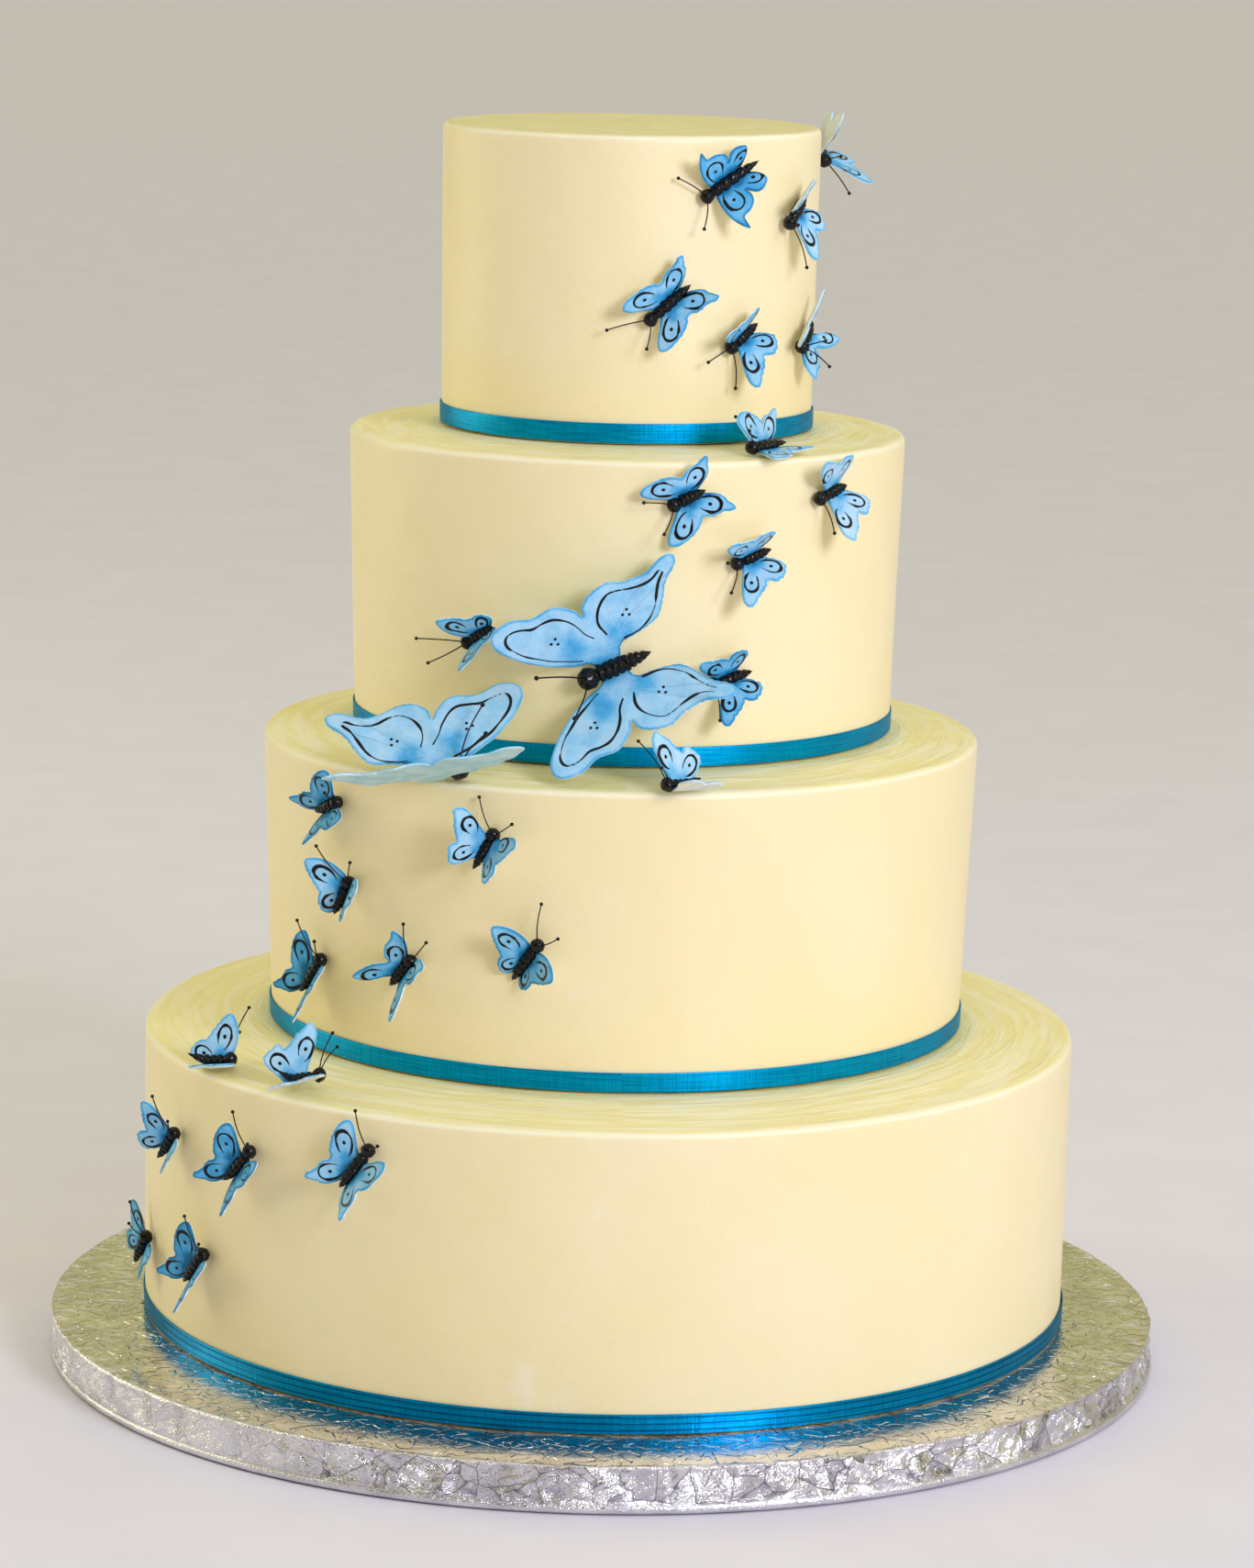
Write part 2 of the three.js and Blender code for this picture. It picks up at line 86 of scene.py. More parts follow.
def add_piece(name, points, faces, material, nodes, shades=None, flat=None):
    """Puts a piece into the scene, from points in millimetres, quads and triangles. Shades are
    values at each point for its material, flat is a slice of quads left as facets, and nodes are
    the frame's solids that it stands for."""
    mesh = bpy.data.meshes.new(name)
    mesh.from_pydata((points * MM).tolist(), [], faces[0].tolist() + faces[1].tolist())
    smooth = np.ones(len(mesh.polygons), dtype=bool)
    if flat is not None:
        smooth[flat] = False
    mesh.polygons.foreach_set("use_smooth", smooth)
    for label, values in (shades or {}).items():
        layer = mesh.attributes.new(label, "FLOAT_VECTOR", "POINT")
        layer.data.foreach_set("vector", values.astype(np.float32).ravel())
    mesh.materials.append(material)
    piece = bpy.data.objects.new(name, mesh)
    bpy.context.scene.collection.objects.link(piece)
    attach(piece, "root")
    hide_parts(*nodes)


def colour(red, green, blue):
    """A screen colour of 0 to 255 as the linear value that the shaders take."""
    shares = [channel / 255 for channel in (red, green, blue)]
    return [c / 12.92 if c <= 0.04045 else ((c + 0.055) / 1.055) ** 2.4 for c in shares] + [1.0]


def new_material(name):
    """A material with its node tree and its Principled shader."""
    material = bpy.data.materials.new(name)
    material.use_nodes = True
    return material, material.node_tree, material.node_tree.nodes["Principled BSDF"]


def operator(operation, swapped=False):
    """A method of a signal that does that operation with it and another signal or number."""
    def method(signal, other):
        return reckon(operation, other, signal) if swapped else reckon(operation, signal, other)
    return method


class Signal:
    """A shader node's output to reckon with. Every sum, difference, product and quotient becomes a
    Math node, or a Vector Math node for vectors and colours."""

    def __init__(self, socket):
        self.socket, self.tree = socket, socket.id_data
        self.wide = socket.type != "VALUE"

    __add__, __radd__ = operator("ADD"), operator("ADD", swapped=True)
    __sub__, __rsub__ = operator("SUBTRACT"), operator("SUBTRACT", swapped=True)
    __truediv__, __rtruediv__ = operator("DIVIDE"), operator("DIVIDE", swapped=True)

    def __mul__(self, other):
        plain = isinstance(other, float) or isinstance(other, Signal) and not other.wide
        return reckon("SCALE" if self.wide and plain else "MULTIPLY", self, other)

    def parts(self):
        """The X, Y and Z of a vector or a colour."""
        made = add_node(self.tree, "ShaderNodeSeparateXYZ", {0: self})
        return [made[axis] for axis in "XYZ"]

    def ease(self, low, high, to_low=0.0, to_high=1.0):
        """The signal carried from low..high to to_low..to_high with soft ends, and held outside."""
        return add_node(self.tree, "ShaderNodeMapRange", {
            "Value": self, "From Min": low, "From Max": high, "To Min": to_low, "To Max": to_high,
        }, interpolation_type="SMOOTHSTEP")["Result"]

    def mix(self, first, second):
        """The colour that lies between two colours or signals by this signal's share."""
        return add_node(self.tree, "ShaderNodeMix", {0: self, 6: first, 7: second}, data_type="RGBA")[2]


def feed(node, inputs):
    """Sets a node's inputs to numbers, or links them to signals."""
    for key, value in inputs.items():
        if isinstance(value, Signal):
            node.id_data.links.new(value.socket, node.inputs[key])
        else:
            node.inputs[key].default_value = value


def add_node(tree, kind, inputs=None, **settings):
    """Adds a node with its settings and inputs. Its outputs come back by number and by name."""
    made = tree.nodes.new(kind)
    for key, value in settings.items():
        setattr(made, key, value)
    feed(made, inputs or {})
    signals = [Signal(socket) for socket in made.outputs]
    return dict(enumerate(signals)) | {signal.socket.name: signal for signal in signals}


def reckon(operation, *values):
    """The result of an operation on signals and numbers. SCALE's number is its node's last input."""
    first = next(value for value in values if isinstance(value, Signal))
    inputs = {0: values[0], 3: values[1]} if operation == "SCALE" else dict(enumerate(values))
    kind = "ShaderNodeVectorMath" if first.wide else "ShaderNodeMath"
    made = add_node(first.tree, kind, inputs, operation=operation)
    return made["Value" if operation in ("LENGTH", "DISTANCE", "DOT_PRODUCT") else 0]


def noise(place, scale, detail, output="Fac", **more):
    """Soft noise over a place."""
    inputs = {"Vector": place, "Scale": scale, "Detail": detail, **more}
    return add_node(place.tree, "ShaderNodeTexNoise", inputs)[output]


def cells(place, scale, **settings):
    """The outputs of a pattern of cells over a place."""
    return add_node(place.tree, "ShaderNodeTexVoronoi", {"Vector": place, "Scale": scale}, **settings)


def relief(height):
    """The normals of a surface raised by a signal in millimetres."""
    return add_node(height.tree, "ShaderNodeBump", {"Height": height, "Strength": 1.0, "Distance": MM})[0]


def new_group(name, takes, gives):
    """A node group with inputs of these names and kinds and number outputs of these names, and what
    it is given."""
    group = bpy.data.node_groups.new(name, "ShaderNodeTree")
    for label, kind in takes.items():
        group.interface.new_socket(label, in_out="INPUT", socket_type=f"NodeSocket{kind}")
    for label in gives:
        group.interface.new_socket(label, in_out="OUTPUT", socket_type="NodeSocketFloat")
    return group, add_node(group, "NodeGroupInput")


def object_place(tree):
    """The point's place on the object in millimetres."""
    return add_node(tree, "ShaderNodeTexCoord")["Object"] * (1 / MM)


def mottle_group():
    """A node group for uneven patches. Its Mask is noise in patches of Size millimetres, squeezed by
    Squeeze and eased from Low to High."""
    group, given = new_group("mottle", {"Size": "Float", "Squeeze": "Vector", "Low": "Float",
                                        "High": "Float"}, ["Mask"])
    uneven = noise(object_place(group) * given["Squeeze"], 1.0 / given["Size"], 3.0, Roughness=0.55)
    add_node(group, "NodeGroupOutput", {"Mask": uneven.ease(given["Low"], given["High"])})
    return group


def facing_up_group():
    """A node group whose Mask is 1 where the surface faces up and 0 on the walls. Its Lip is 1 only
    on the rounding between the two."""
    group, _ = new_group("facing_up", {}, ["Mask", "Lip"])
    upright = add_node(group, "ShaderNodeNewGeometry")["Normal"].parts()[2]
    mask = upright.ease(0.6, 0.95)
    add_node(group, "NodeGroupOutput", {"Mask": mask, "Lip": upright.ease(0.15, 0.6) - mask})
    return group


mottle = mottle_group()
facing_up = facing_up_group()


def patches(tree, size, low, high, squeeze=(1.0, 1.0, 1.0)):
    """The Mask of the mottle group with these settings."""
    inputs = {"Size": size, "Low": low, "High": high, "Squeeze": squeeze}
    return add_node(tree, "ShaderNodeGroup", inputs, node_tree=mottle)["Mask"]


def drum_profile():
    """The drum's outline: the underside, the folded band with the seam over it, the wall, a rounding
    of 2 mm, and close rings over the part of the top that shows."""
    turn = np.radians(np.arange(0, 91, 15))
    rows = [(0, 0), (150, 0), (BOARD_RADIUS - 1.6, 0), (BOARD_RADIUS - 0.5, 0.5), (BOARD_RADIUS - 0.1, 1.4),
            (BOARD_RADIUS - 0.1, 2.2), (BOARD_RADIUS - 0.1, 3.0), (BOARD_RADIUS - 0.8, 3.4)]
    rows += [(BOARD_RADIUS, 3.9 + 1.2 * step) for step in range(11)]
    rows += list(zip(BOARD_RADIUS - EDGE_ROUND + EDGE_ROUND * np.cos(turn),
                     BOARD_HEIGHT - EDGE_ROUND + EDGE_ROUND * np.sin(turn)))
    rows += [(radius, BOARD_HEIGHT) for radius in np.arange(224.4, 184, -1.5)]
    return rows + [(120, BOARD_HEIGHT), (0, BOARD_HEIGHT)]


def crumple(points):
    """Crumples the foil on the side and just over the edge. Zigzag waves in six directions add up to
    flat facets up to 3 mm deep, with upright pleats every 18 to 42 mm. The left third of the side
    is smoother."""
    seeded = np.random.default_rng(11)
    x, y, z = points.T
    reach = np.hypot(x, y)
    on_wall = (z > 4.4) & (z < 16.4) & (reach > BOARD_RADIUS - 0.1)
    shake = seeded.uniform(-1, 1, (len(points), 2)) * on_wall[:, None]
    around = np.arctan2(x, -y) + shake[:, 0] * 0.5 / BOARD_RADIUS
    height = z + shake[:, 1] * 0.4
    climb = height + np.clip(BOARD_RADIUS - EDGE_ROUND - reach, 0, 60)
    bent = around + 0.022 * np.sin(7 * around + 0.3 * climb) + 0.014 * np.sin(19 * around - 0.2 * climb)
    depth = np.zeros(len(points))
    for turns, lean, size in ((40, -0.015, 0.7), (66, 0.045, 0.7), (97, 0.12, 0.6), (149, -0.09, 0.5),
                              (231, 0.12, 0.4), (334, -0.21, 0.28)):
        wave = (bent * turns / (2 * math.pi) + climb * lean) % 1.0
        depth += size * (1 - np.abs(2 * wave - 1))
    amount = np.interp(np.degrees(around), (-180, -125, -100, -40, -22, 60, 180),
                       (0.8, 0.8, 0.3, 0.28, 1, 1, 0.8))
    pleats = np.cumsum(seeded.uniform(18, 42, 48))
    walk = (around % (2 * math.pi)) * BOARD_RADIUS + 0.25 * height * np.sin(5 * around)
    nearest = np.abs(walk[:, None] - pleats[None]).min(axis=1)
    depth = amount * depth + 1.3 * np.clip(1 - nearest / 2.6, 0, 1)
    depth *= 1 - 0.6 * np.exp(-((climb - 18.6) / 1.5) ** 2)
    depth *= np.clip((height - 3.5) / 1.2, 0, 1) * np.clip(1 - (climb - 20) / 6, 0, 1)
    over = np.clip((z - BOARD_HEIGHT + EDGE_ROUND) / EDGE_ROUND, 0, 1)
    reach = reach - depth * np.sqrt(1 - over ** 2)
    sag = 0.12 * np.sin(x * 0.09) * np.sin(y * 0.11) * (over > 0.99)
    lowered = height - 0.5 * depth * over + sag - 0.12 * over
    return np.column_stack([reach * np.sin(around), -reach * np.cos(around), lowered])


def silver_foil():
    """Foil that mirrors softly. Its top is embossed with curling leaves: three arms wind out in
    every cell, and finer ones cross them. The side has flat facets that each lean their own way,
    with painted shade in thin dark lines along the creases between them."""
    material, tree, shader = new_material("silver_foil")
    place = object_place(tree)
    on_top = add_node(tree, "ShaderNodeGroup", node_tree=facing_up)["Mask"]
    off_top = 1.0 - on_top
    warp = noise(place, 0.09, 1.0, "Color")
    bent, folded = place + warp * 14.0, place + warp * 3.0
    curls = 0.0
    for size, arms, wind, strength in ((0.062, 3.0, 4.2, 0.42), (0.125, 2.0, 3.4, 0.2)):
        cell = cells(bent, size)
        arm = bent - cell["Position"]
        across, along, _ = arm.parts()
        start = cell["Color"].parts()[0]
        winding = reckon("LOGARITHM", reckon("LENGTH", arm) + 0.8, 2.7183) * wind
        turn = reckon("ARCTAN2", along, across) * arms + winding + start * 6.28
        curls = curls + reckon("SINE", turn).ease(-0.25, 0.25, 0.0, strength)
    fine = noise(place, 1.3, 2.0)
    blisters = fine.ease(0.35, 0.7, 0.0, 0.16)
    bumps = relief((curls + fine * 0.07) * on_top + blisters * off_top)
    large_facet, small_facet = (cells(folded, scale)["Color"] - (0.5, 0.5, 0.5) for scale in (0.07, 0.2))
    x, y, z = place.parts()
    # The left of the side is hardly crumpled, and the smooth fold at its foot isn't at all.
    crumpled = (x - y * 0.2).ease(-110.0, -60.0, 0.3, 1.0) * z.ease(3.2, 4.2) * off_top
    lean = (large_facet * 0.5 + small_facet * 0.45) * crumpled
    # Painted shade: thin dark lines along the cell edges stand for the shade in the foil's creases.
    painted_crease_shade = cells(folded, 0.07, feature="DISTANCE_TO_EDGE")["Distance"].ease(0.024, 0.0, 0.0, 0.7)
    silver = patches(tree, 16.0, 0.3, 0.7).mix(colour(212, 209, 216), colour(236, 234, 239))
    feed(shader, {
        "Base Color": (painted_crease_shade * crumpled).mix(silver, colour(84, 78, 92)),
        "Roughness": fine.ease(0.3, 0.7, 0.15, 0.22) - on_top * 0.07,
        "Normal": reckon("NORMALIZE", bumps + lean),
        "Metallic": 1.0,
    })
    return material


points, faces = turned_mesh(drum_profile(), FOIL_STEPS)
add_piece("foil_board", crumple(points), faces, silver_foil(), ["board"],
          flat=slice(8 * FOIL_STEPS, 18 * FOIL_STEPS))


# Tiers.
# Four round sponge cakes, each levelled, filled and covered with a smooth skin of butter cream
# coloured icing. The wall is smoothed with a straight scraper and the top with a palette knife, which
# leaves a soft rounded lip and curved strokes on the top.

TIER_PITCH = 121.5
TIER_GAP = 0.3
FOOT_RADIUS = (189.3, 140.8, 108.4, 74.3)
FLARE = (0.5, 4.0, 3.3, 1.2)
SHIFT = (0.5, 3.0, 3.3, 2.6)
# Each top is flat out to its seat and then falls to the rim, because the icing is drawn down there.
SEAT = (145.8, 113.4, 79.3, 40.0)
FALL = (3.2, 3.0, 1.7, 1.5)
LIP_ROUND = 3.0


def wall_radius(level, height):
    """A tier's radius at a height above its foot: it grows evenly by its flare over one pitch."""
    return FOOT_RADIUS[level] + FLARE[level] * height / TIER_PITCH


def top_fall(level, reach):
    """How far a tier's top has fallen at a distance from its axis."""
    rim = FOOT_RADIUS[level] + FLARE[level] - LIP_ROUND
    return FALL[level] * np.clip((reach - SEAT[level]) / (rim - SEAT[level]), 0, 1)


def tier_profile(level):
    """A tier's outline: the foot, the leaning wall, a quarter circle for the lip, and rings 2.5 mm
    apart over the falling part of the top."""
    height = TIER_PITCH - TIER_GAP
    foot, edge = FOOT_RADIUS[level], FOOT_RADIUS[level] + FLARE[level]
    middle = height - FALL[level] - LIP_ROUND
    rise = np.linspace(1.2, middle, 36)
    rows = [(0, 0), (foot * 0.6, 0), (foot - 0.6, 0), (foot - 0.1, 0.4)]
    rows += list(zip(foot + FLARE[level] * rise / middle, rise))
    turn = np.radians(90 * np.arange(1, 9) / 8)
    rows += list(zip(edge - LIP_ROUND + LIP_ROUND * np.cos(turn), middle + LIP_ROUND * np.sin(turn)))
    reach = np.arange(edge - LIP_ROUND - 1.2, 5 if level == 3 else SEAT[level] - 12, -2.5)
    rows += list(zip(reach, height - top_fall(level, reach) - 0.2 * np.minimum((edge - reach) / 9, 1)))
    return rows + [(0, height - 0.2)]


def hand_smoothed(points, level):
    """Pushes a tier's wall in and out by up to 0.25 mm in long waves, and lays knife strokes on its
    top: wandering arcs that rise by 0.35 mm and end in a sharp edge."""
    x, y, rise = points.T
    around, reach = np.arctan2(x, -y), np.hypot(x, y)
    slow = np.sin(3 * around + level * 2.1 + rise * 0.02) + 0.7 * np.sin(7 * around - level + rise * 0.045)
    quick = 0.35 * np.sin(17 * around + rise * 0.06 + level)
    push = 0.12 * (slow + quick) * np.clip(rise / 6, 0, 1)
    factor = 1 + push / np.maximum(reach, 1) * (reach > FOOT_RADIUS[level] * 0.9)
    inset = wall_radius(level, TIER_PITCH) - LIP_ROUND - reach
    stroke = (inset / 17 + 0.5 * np.sin(around + level) + 0.32 * np.sin(2.3 * np.sin(around) + level)) % 1.0
    fresh = np.clip(inset / 5, 0, 1) * (rise > TIER_PITCH - 5) * np.clip(reach / 10, 0, 1)
    lifted = rise + (0.34 * stroke ** 2 - 0.16) * fresh
    return np.column_stack([x * factor, y * factor, lifted])


def vector_of(x, y, z):
    """A vector made of signals and numbers. The first is a signal."""
    return add_node(x.tree, "ShaderNodeCombineXYZ", {"X": x, "Y": y, "Z": z})[0]


def butter_icing():
    """Smooth icing that lets a little light in, yellower in patches, with pale smudges and a fine
    grain. The tops are marked by the knife and painted greener as shade and reflection, with
    painted glints. The highest top has painted shade, and the lips a painted highlight."""
    material, tree, shader = new_material("butter_icing")
    x, y, z = object_place(tree).parts()
    base = patches(tree, 90.0, 0.35, 0.7).mix(colour(250, 232, 181), colour(251, 235, 191))
    smudge = patches(tree, 22.0, 0.68, 0.78, (1.0, 1.0, 0.8)) * 0.28
    base = smudge.mix(base, colour(254, 248, 232))
    stain = patches(tree, 34.0, 0.66, 0.8, (1.0, 1.0, 2.4)) * 0.3
    base = stain.mix(base, colour(248, 232, 160))
    # Strokes of the palette knife on the tops, drawn out round the axis.
    facing = add_node(tree, "ShaderNodeGroup", node_tree=facing_up)
    on_top = facing["Mask"]
    ring_place = vector_of(reckon("ARCTAN2", x, y) * 7.0, reckon("SQRT", x * x + y * y) * 0.5, z * 0.05)
    strokes = noise(ring_place, 0.5, 4.0, Roughness=0.6, Distortion=0.5)
    # Painted light: the tops are tinted greener as painted shade and reflection of the green room, and
    # their pale marks are painted glints along the knife strokes.
    strokes_and_painted_top_light = strokes.ease(0.4, 0.65).mix(colour(246, 234, 160), colour(253, 246, 204))
    base = (on_top * 0.8).mix(base, strokes_and_painted_top_light)
    # Painted shade: the highest top is darkened for the little light that reaches it.
    painted_top_tier_shade = z.ease(480.0, 498.0, 0.0, 0.6) * on_top
    base = painted_top_tier_shade.mix(base, colour(226, 212, 146))
    grain = patches(tree, 0.7, 0.2, 0.8) * 0.035
    ripple = patches(tree, 20.0, 0.1, 0.9) * 0.4
    feed(shader, {
        # Painted highlight: the rounding of each lip is paled for the bright line of light along the rim.
        "Base Color": (facing["Lip"] * 0.75).mix(base, colour(255, 249, 222)),
        "Normal": relief(grain + ripple + strokes * on_top * 0.9),
        "Roughness": patches(tree, 30.0, 0.2, 0.8) * 0.12 + 0.34,
        "Subsurface Weight": 0.12,
        "Subsurface Radius": (1.0, 0.75, 0.4),
        "Subsurface Scale": 3 * MM,
        "Specular IOR Level": 0.42,
    })
    return material


icing = butter_icing()
for level in range(4):
    points, faces = turned_mesh(tier_profile(level), 256)
    points = hand_smoothed(points, level) + (SHIFT[level], 0, BOARD_HEIGHT + level * TIER_PITCH + TIER_GAP)
    add_piece(f"iced_tier_{level + 1}", points, faces, icing, [f"tier_{level + 1}"])


# Ribbons.
# A narrow double-faced satin ribbon lies round the foot of each tier. It is stuck to itself at the
# back, where its cut end overlaps by 14 mm. The lowest one is two narrow widths, the upper one
# laid over the edge of the lower one.

RIBBON_WIDTH = 7.8
RIBBON_THICKNESS = 0.5
RIBBON_OVERLAP = 14.0


def ribbon_profile(level):
    """The ribbon's closed cross-section, leaning with its tier: a flat strip with rounded edges. The
    lowest one steps in at half its width and has two soft folds."""
    share = np.linspace(0, 1, 27)
    puff = 0.08 * np.sin(math.pi * share)
    edge = np.where((share < 0.02) | (share > 0.98), 0.16, 0.38)
    if level == 0:
        puff = 0.05 * np.abs(np.sin(3 * math.pi * share)) - 0.17 * (share < 0.55)
    outer = np.column_stack([wall_radius(level, RIBBON_WIDTH * share) + TIER_GAP + 0.1 + edge + puff,
                             RIBBON_WIDTH * share])
    inner = np.column_stack([wall_radius(level, RIBBON_WIDTH * share[::-13]) + TIER_GAP + 0.1,
                             RIBBON_WIDTH * share[::-13]])
    return np.vstack([outer, inner])


def swept_band(rows, start, end, steps):
    """Points and faces of a cross-section swept round +Z between two angles, in degrees from the
    front. A full turn is joined to itself, and a shorter band gets flat ends."""
    whole = end - start >= 360
    angle = np.radians(np.linspace(start, end, steps, endpoint=not whole))
    count = len(rows)
    radius, height = np.repeat(rows.T[:, None], steps, axis=1)
    triangles = np.zeros((0, 3), dtype=int)
    if not whole:
        near = np.arange(1, count - 1)
        cap = np.stack([near * 0, near + 1, near], axis=1)
        triangles = np.vstack([cap, cap[:, ::-1] + (steps - 1) * count])
    points = np.stack([radius * np.sin(angle)[:, None], -radius * np.cos(angle)[:, None], height], axis=2)
    i, k = np.mgrid[0:steps if whole else steps - 1, 0:count]
    j, m = (i + 1) % steps, (k + 1) % count
    quads = np.stack([i * count + k, j * count + k, j * count + m, i * count + m], axis=2).reshape(-1, 4)
    return points.reshape(-1, 3), (quads, triangles)


def satin():
    """Teal blue satin, with fine upright lines, and long pale and deep bands of painted sheen and
    shade. The highlight is drawn out upright, because the shiny threads lie along the ribbon."""
    material, tree, shader = new_material("satin_ribbon")
    x, y, z = object_place(tree).parts()
    around = reckon("ARCTAN2", x, y)
    slubs = noise(vector_of(around * 190.0, 0.0, z * 0.06), 1.0, 3.0)
    wrinkle_sheen_and_shade = noise(vector_of(around * 5.0, 0.0, z * 1.6), 1.0, 2.0)
    # Painted sheen and shade: the pale and deep bands along the ribbon stand for light and shade on its
    # long wrinkles.
    base = wrinkle_sheen_and_shade.ease(0.3, 0.7).mix(colour(0, 136, 194), colour(0, 172, 228))
    base = slubs.ease(0.4, 0.7, 0.0, 0.5).mix(base, colour(0, 118, 174))
    # The lowest ribbon is two narrow widths, with painted shade in dark lines where they fold.
    lines = reckon("SINE", z * 2.42 + wrinkle_sheen_and_shade * 2.0)
    folds = lines.ease(0.45, 1.0, 0.25, 0.8) * z.ease(40.0, 36.0)
    feed(shader, {
        "Base Color": folds.mix(base, colour(0, 58, 92)),
        "Normal": relief(slubs * 0.12 + wrinkle_sheen_and_shade * 0.1),
        "Roughness": 0.38,
        "Metallic": 0.65,
        "Specular IOR Level": 0.3,
        "Specular Tint": colour(70, 176, 222),
        "Anisotropic": 0.7,
        "Anisotropic Rotation": 0.25,
    })
    return material


ribbon_satin = satin()
for level in range(4):
    foot = (SHIFT[level], 0, BOARD_HEIGHT + level * TIER_PITCH + 2 * TIER_GAP)
    strip = ribbon_profile(level)
    half = math.degrees(RIBBON_OVERLAP / 2 / FOOT_RADIUS[level])
    for label, rows, span, steps in (("satin_band", strip, (0, 360), 256), (
            "ribbon_end", strip + (RIBBON_THICKNESS + 0.15, 0), (180 - half, 180 + half), 10)):
        points, faces = swept_band(rows, *span, steps)
        add_piece(f"{label}_{level + 1}", points + foot, faces, ribbon_satin,
                  [f"ribbon_{level + 1}"])


# Butterfly wings.
# Flower paste rolled a millimetre thin and cut with one large and six small cutters. Each cut-out
# is folded in a V while it dries, dusted with blue, and outlined with a fine brush of black.

# One wing of each cutter from the front of the fold round to its back: out from the fold and forward.
CUTTERS = {
    "hook": [(0, 2.5), (4.6, 4.4), (11, 5.3), (17, 4.6), (22, 2), (16.8, 0.6), (15.9, -3.4), (13.8, -6.6),
             (10.8, -7.9), (8.3, -7.4), (11.6, -10.2), (11.9, -13.6), (9.4, -17), (5.4, -15.8), (2, -12),
             (0, -10)],
    "shell": [(0, 3), (5.2, 5.6), (11.2, 10.2), (17, 13.4), (20.4, 13), (20.6, 10.4), (18.4, 6.4),
              (16.6, 2.6), (13.8, -1.2), (15.8, -3.6), (15.8, -6.6), (13.6, -9.8), (10.6, -11.6),
              (6.6, -9.6), (3.6, -6.6), (0, -4.5)],
    "tail": [(0, 2.5), (4.2, 5.2), (9.2, 11), (13, 13.3), (15.4, 10.4), (15.2, 4.4), (13, -1.2),
             (10.4, -4.6), (12.2, -8), (12.3, -12), (14, -16), (12.9, -17.7), (9.4, -16.2), (6.2, -15.2),
             (3.4, -12), (0, -6)],
    "leaf": [(0, 3), (2.8, 7.5), (6, 12), (9.4, 13.6), (13.2, 13.8), (12.2, 10), (12.4, 6.2), (10.5, 1.8),
             (7.8, -0.2), (12, -4.2), (14.6, -8.6), (16.2, -13.8), (14, -14.4), (9.4, -11.9), (5, -7),
             (0, -4)],
    "fan": [(0, 2.5), (6, 5), (12, 8.6), (18, 10.8), (22.2, 9.2), (20.4, 6), (19, 3.2), (16.6, 0.4),
            (14.4, -2.4), (16.6, -4.8), (15.2, -8), (12.6, -11.4), (9, -10.8), (4.6, -7.6), (0, -4.5)],
    "kite": [(0, 3), (4, 6.6), (10.5, 9.2), (16.4, 9), (20.2, 7), (18.8, 3.6), (14.4, -0.8), (11, -3.6),
             (10.2, -7), (8.4, -9.6), (6, -10.8), (3, -9.8), (0, -5)],
    "large": [(0, 4), (5.6, 6.8), (8.4, 14.6), (14.6, 25), (22.8, 33.4), (30.8, 38), (36.8, 36.4),
              (38.6, 28.8), (35.4, 20.2), (36, 11), (31.4, 4.6), (26.8, 2), (31.4, 0.6), (35, -4.6),
              (35.6, -11.5), (33, -18), (32.6, -26), (36, -34), (35.4, -38.8), (31.2, -38.8), (25, -32.6),
              (17.6, -28.6), (11.6, -23.8), (9.6, -14.5), (8, -7.4), (0, -4.4)],
}
# A spot on each wing from which its whole edge can be seen.
WING_MIDDLES = {"hook": (0.3, -1.5), "shell": (3.5, 0.7), "tail": (1.6, -5.5), "leaf": (2.3, 0.7),
                "fan": (4.5, -2.7), "kite": (5.3, 1.7), "large": (10.5, 0)}
# The little waves of the cutter's rear edge: how far they stand out and in, and the corner of the
# outline at which they begin.
EDGE_WAVES = {"hook": (0.0, 4), "shell": (0.75, 4), "tail": (0.45, 4), "leaf": (0.25, 4),
              "fan": (0.6, 4), "kite": (0.5, 4), "large": (0.6, 12)}
# The painted loop of each small lobe, front then back: its dot, the angle of its long axis, half
# its length and half its width.
PAINTED_LOOPS = {
    "hook": (((8.5, -0.6), 0, 5.0, 3.5), ((5.8, -12.6), -65, 4.2, 2.4)),
    "shell": (((11.3, 5.6), 36, 5.0, 2.7), ((8.7, -5.8), -42, 4.5, 2.8)),
    "tail": (((9.7, 4.2), 47, 5.5, 3.0), ((7.1, -9.2), -50, 5.0, 3.1)),
    "leaf": (((6.6, 4.6), 57, 4.7, 2.8), ((9.1, -8.5), -41, 5.2, 2.6)),
    "fan": (((12.4, 5.2), 28, 4.6, 2.6), ((9.2, -5.6), -36, 4.4, 2.8)),
    "kite": (((11.1, 3.6), 16, 5.0, 2.6), ((5.1, -5.3), -54, 4.0, 2.4)),
}
# The painted lines of the large wing run inside its edge, from the root round the lobe and back.
LARGE_LINES = (
    [(8.6, 9), (11, 14), (13.6, 18.6), (17.4, 24), (22.4, 29.2), (27.6, 32.6), (31.6, 32.8), (33.5, 30),
     (32.6, 25.6), (31, 21.6), (31.3, 17.2), (31, 12.6), (28.4, 8.8), (24, 5.8), (19.4, 4), (15.6, 1.4)],
    [(15, -3.6), (20, -2.3), (24.4, -3.2), (28.3, -6), (30.8, -10), (30.5, -14.5), (28.9, -19),
     (28.3, -23.4), (29.2, -28), (31.2, -31.6), (29.9, -32.8), (26.8, -30), (22, -27.4),
     (16.6, -24.6), (12.6, -20.4), (10.6, -15.5), (10, -9.5)],
)
LARGE_DOTS = ((21.4, 15.8), (19.6, -13.8))

WING_THICKNESS = 1.1
WING_CUP = 0.0016
FOLD_RISE = 0.4


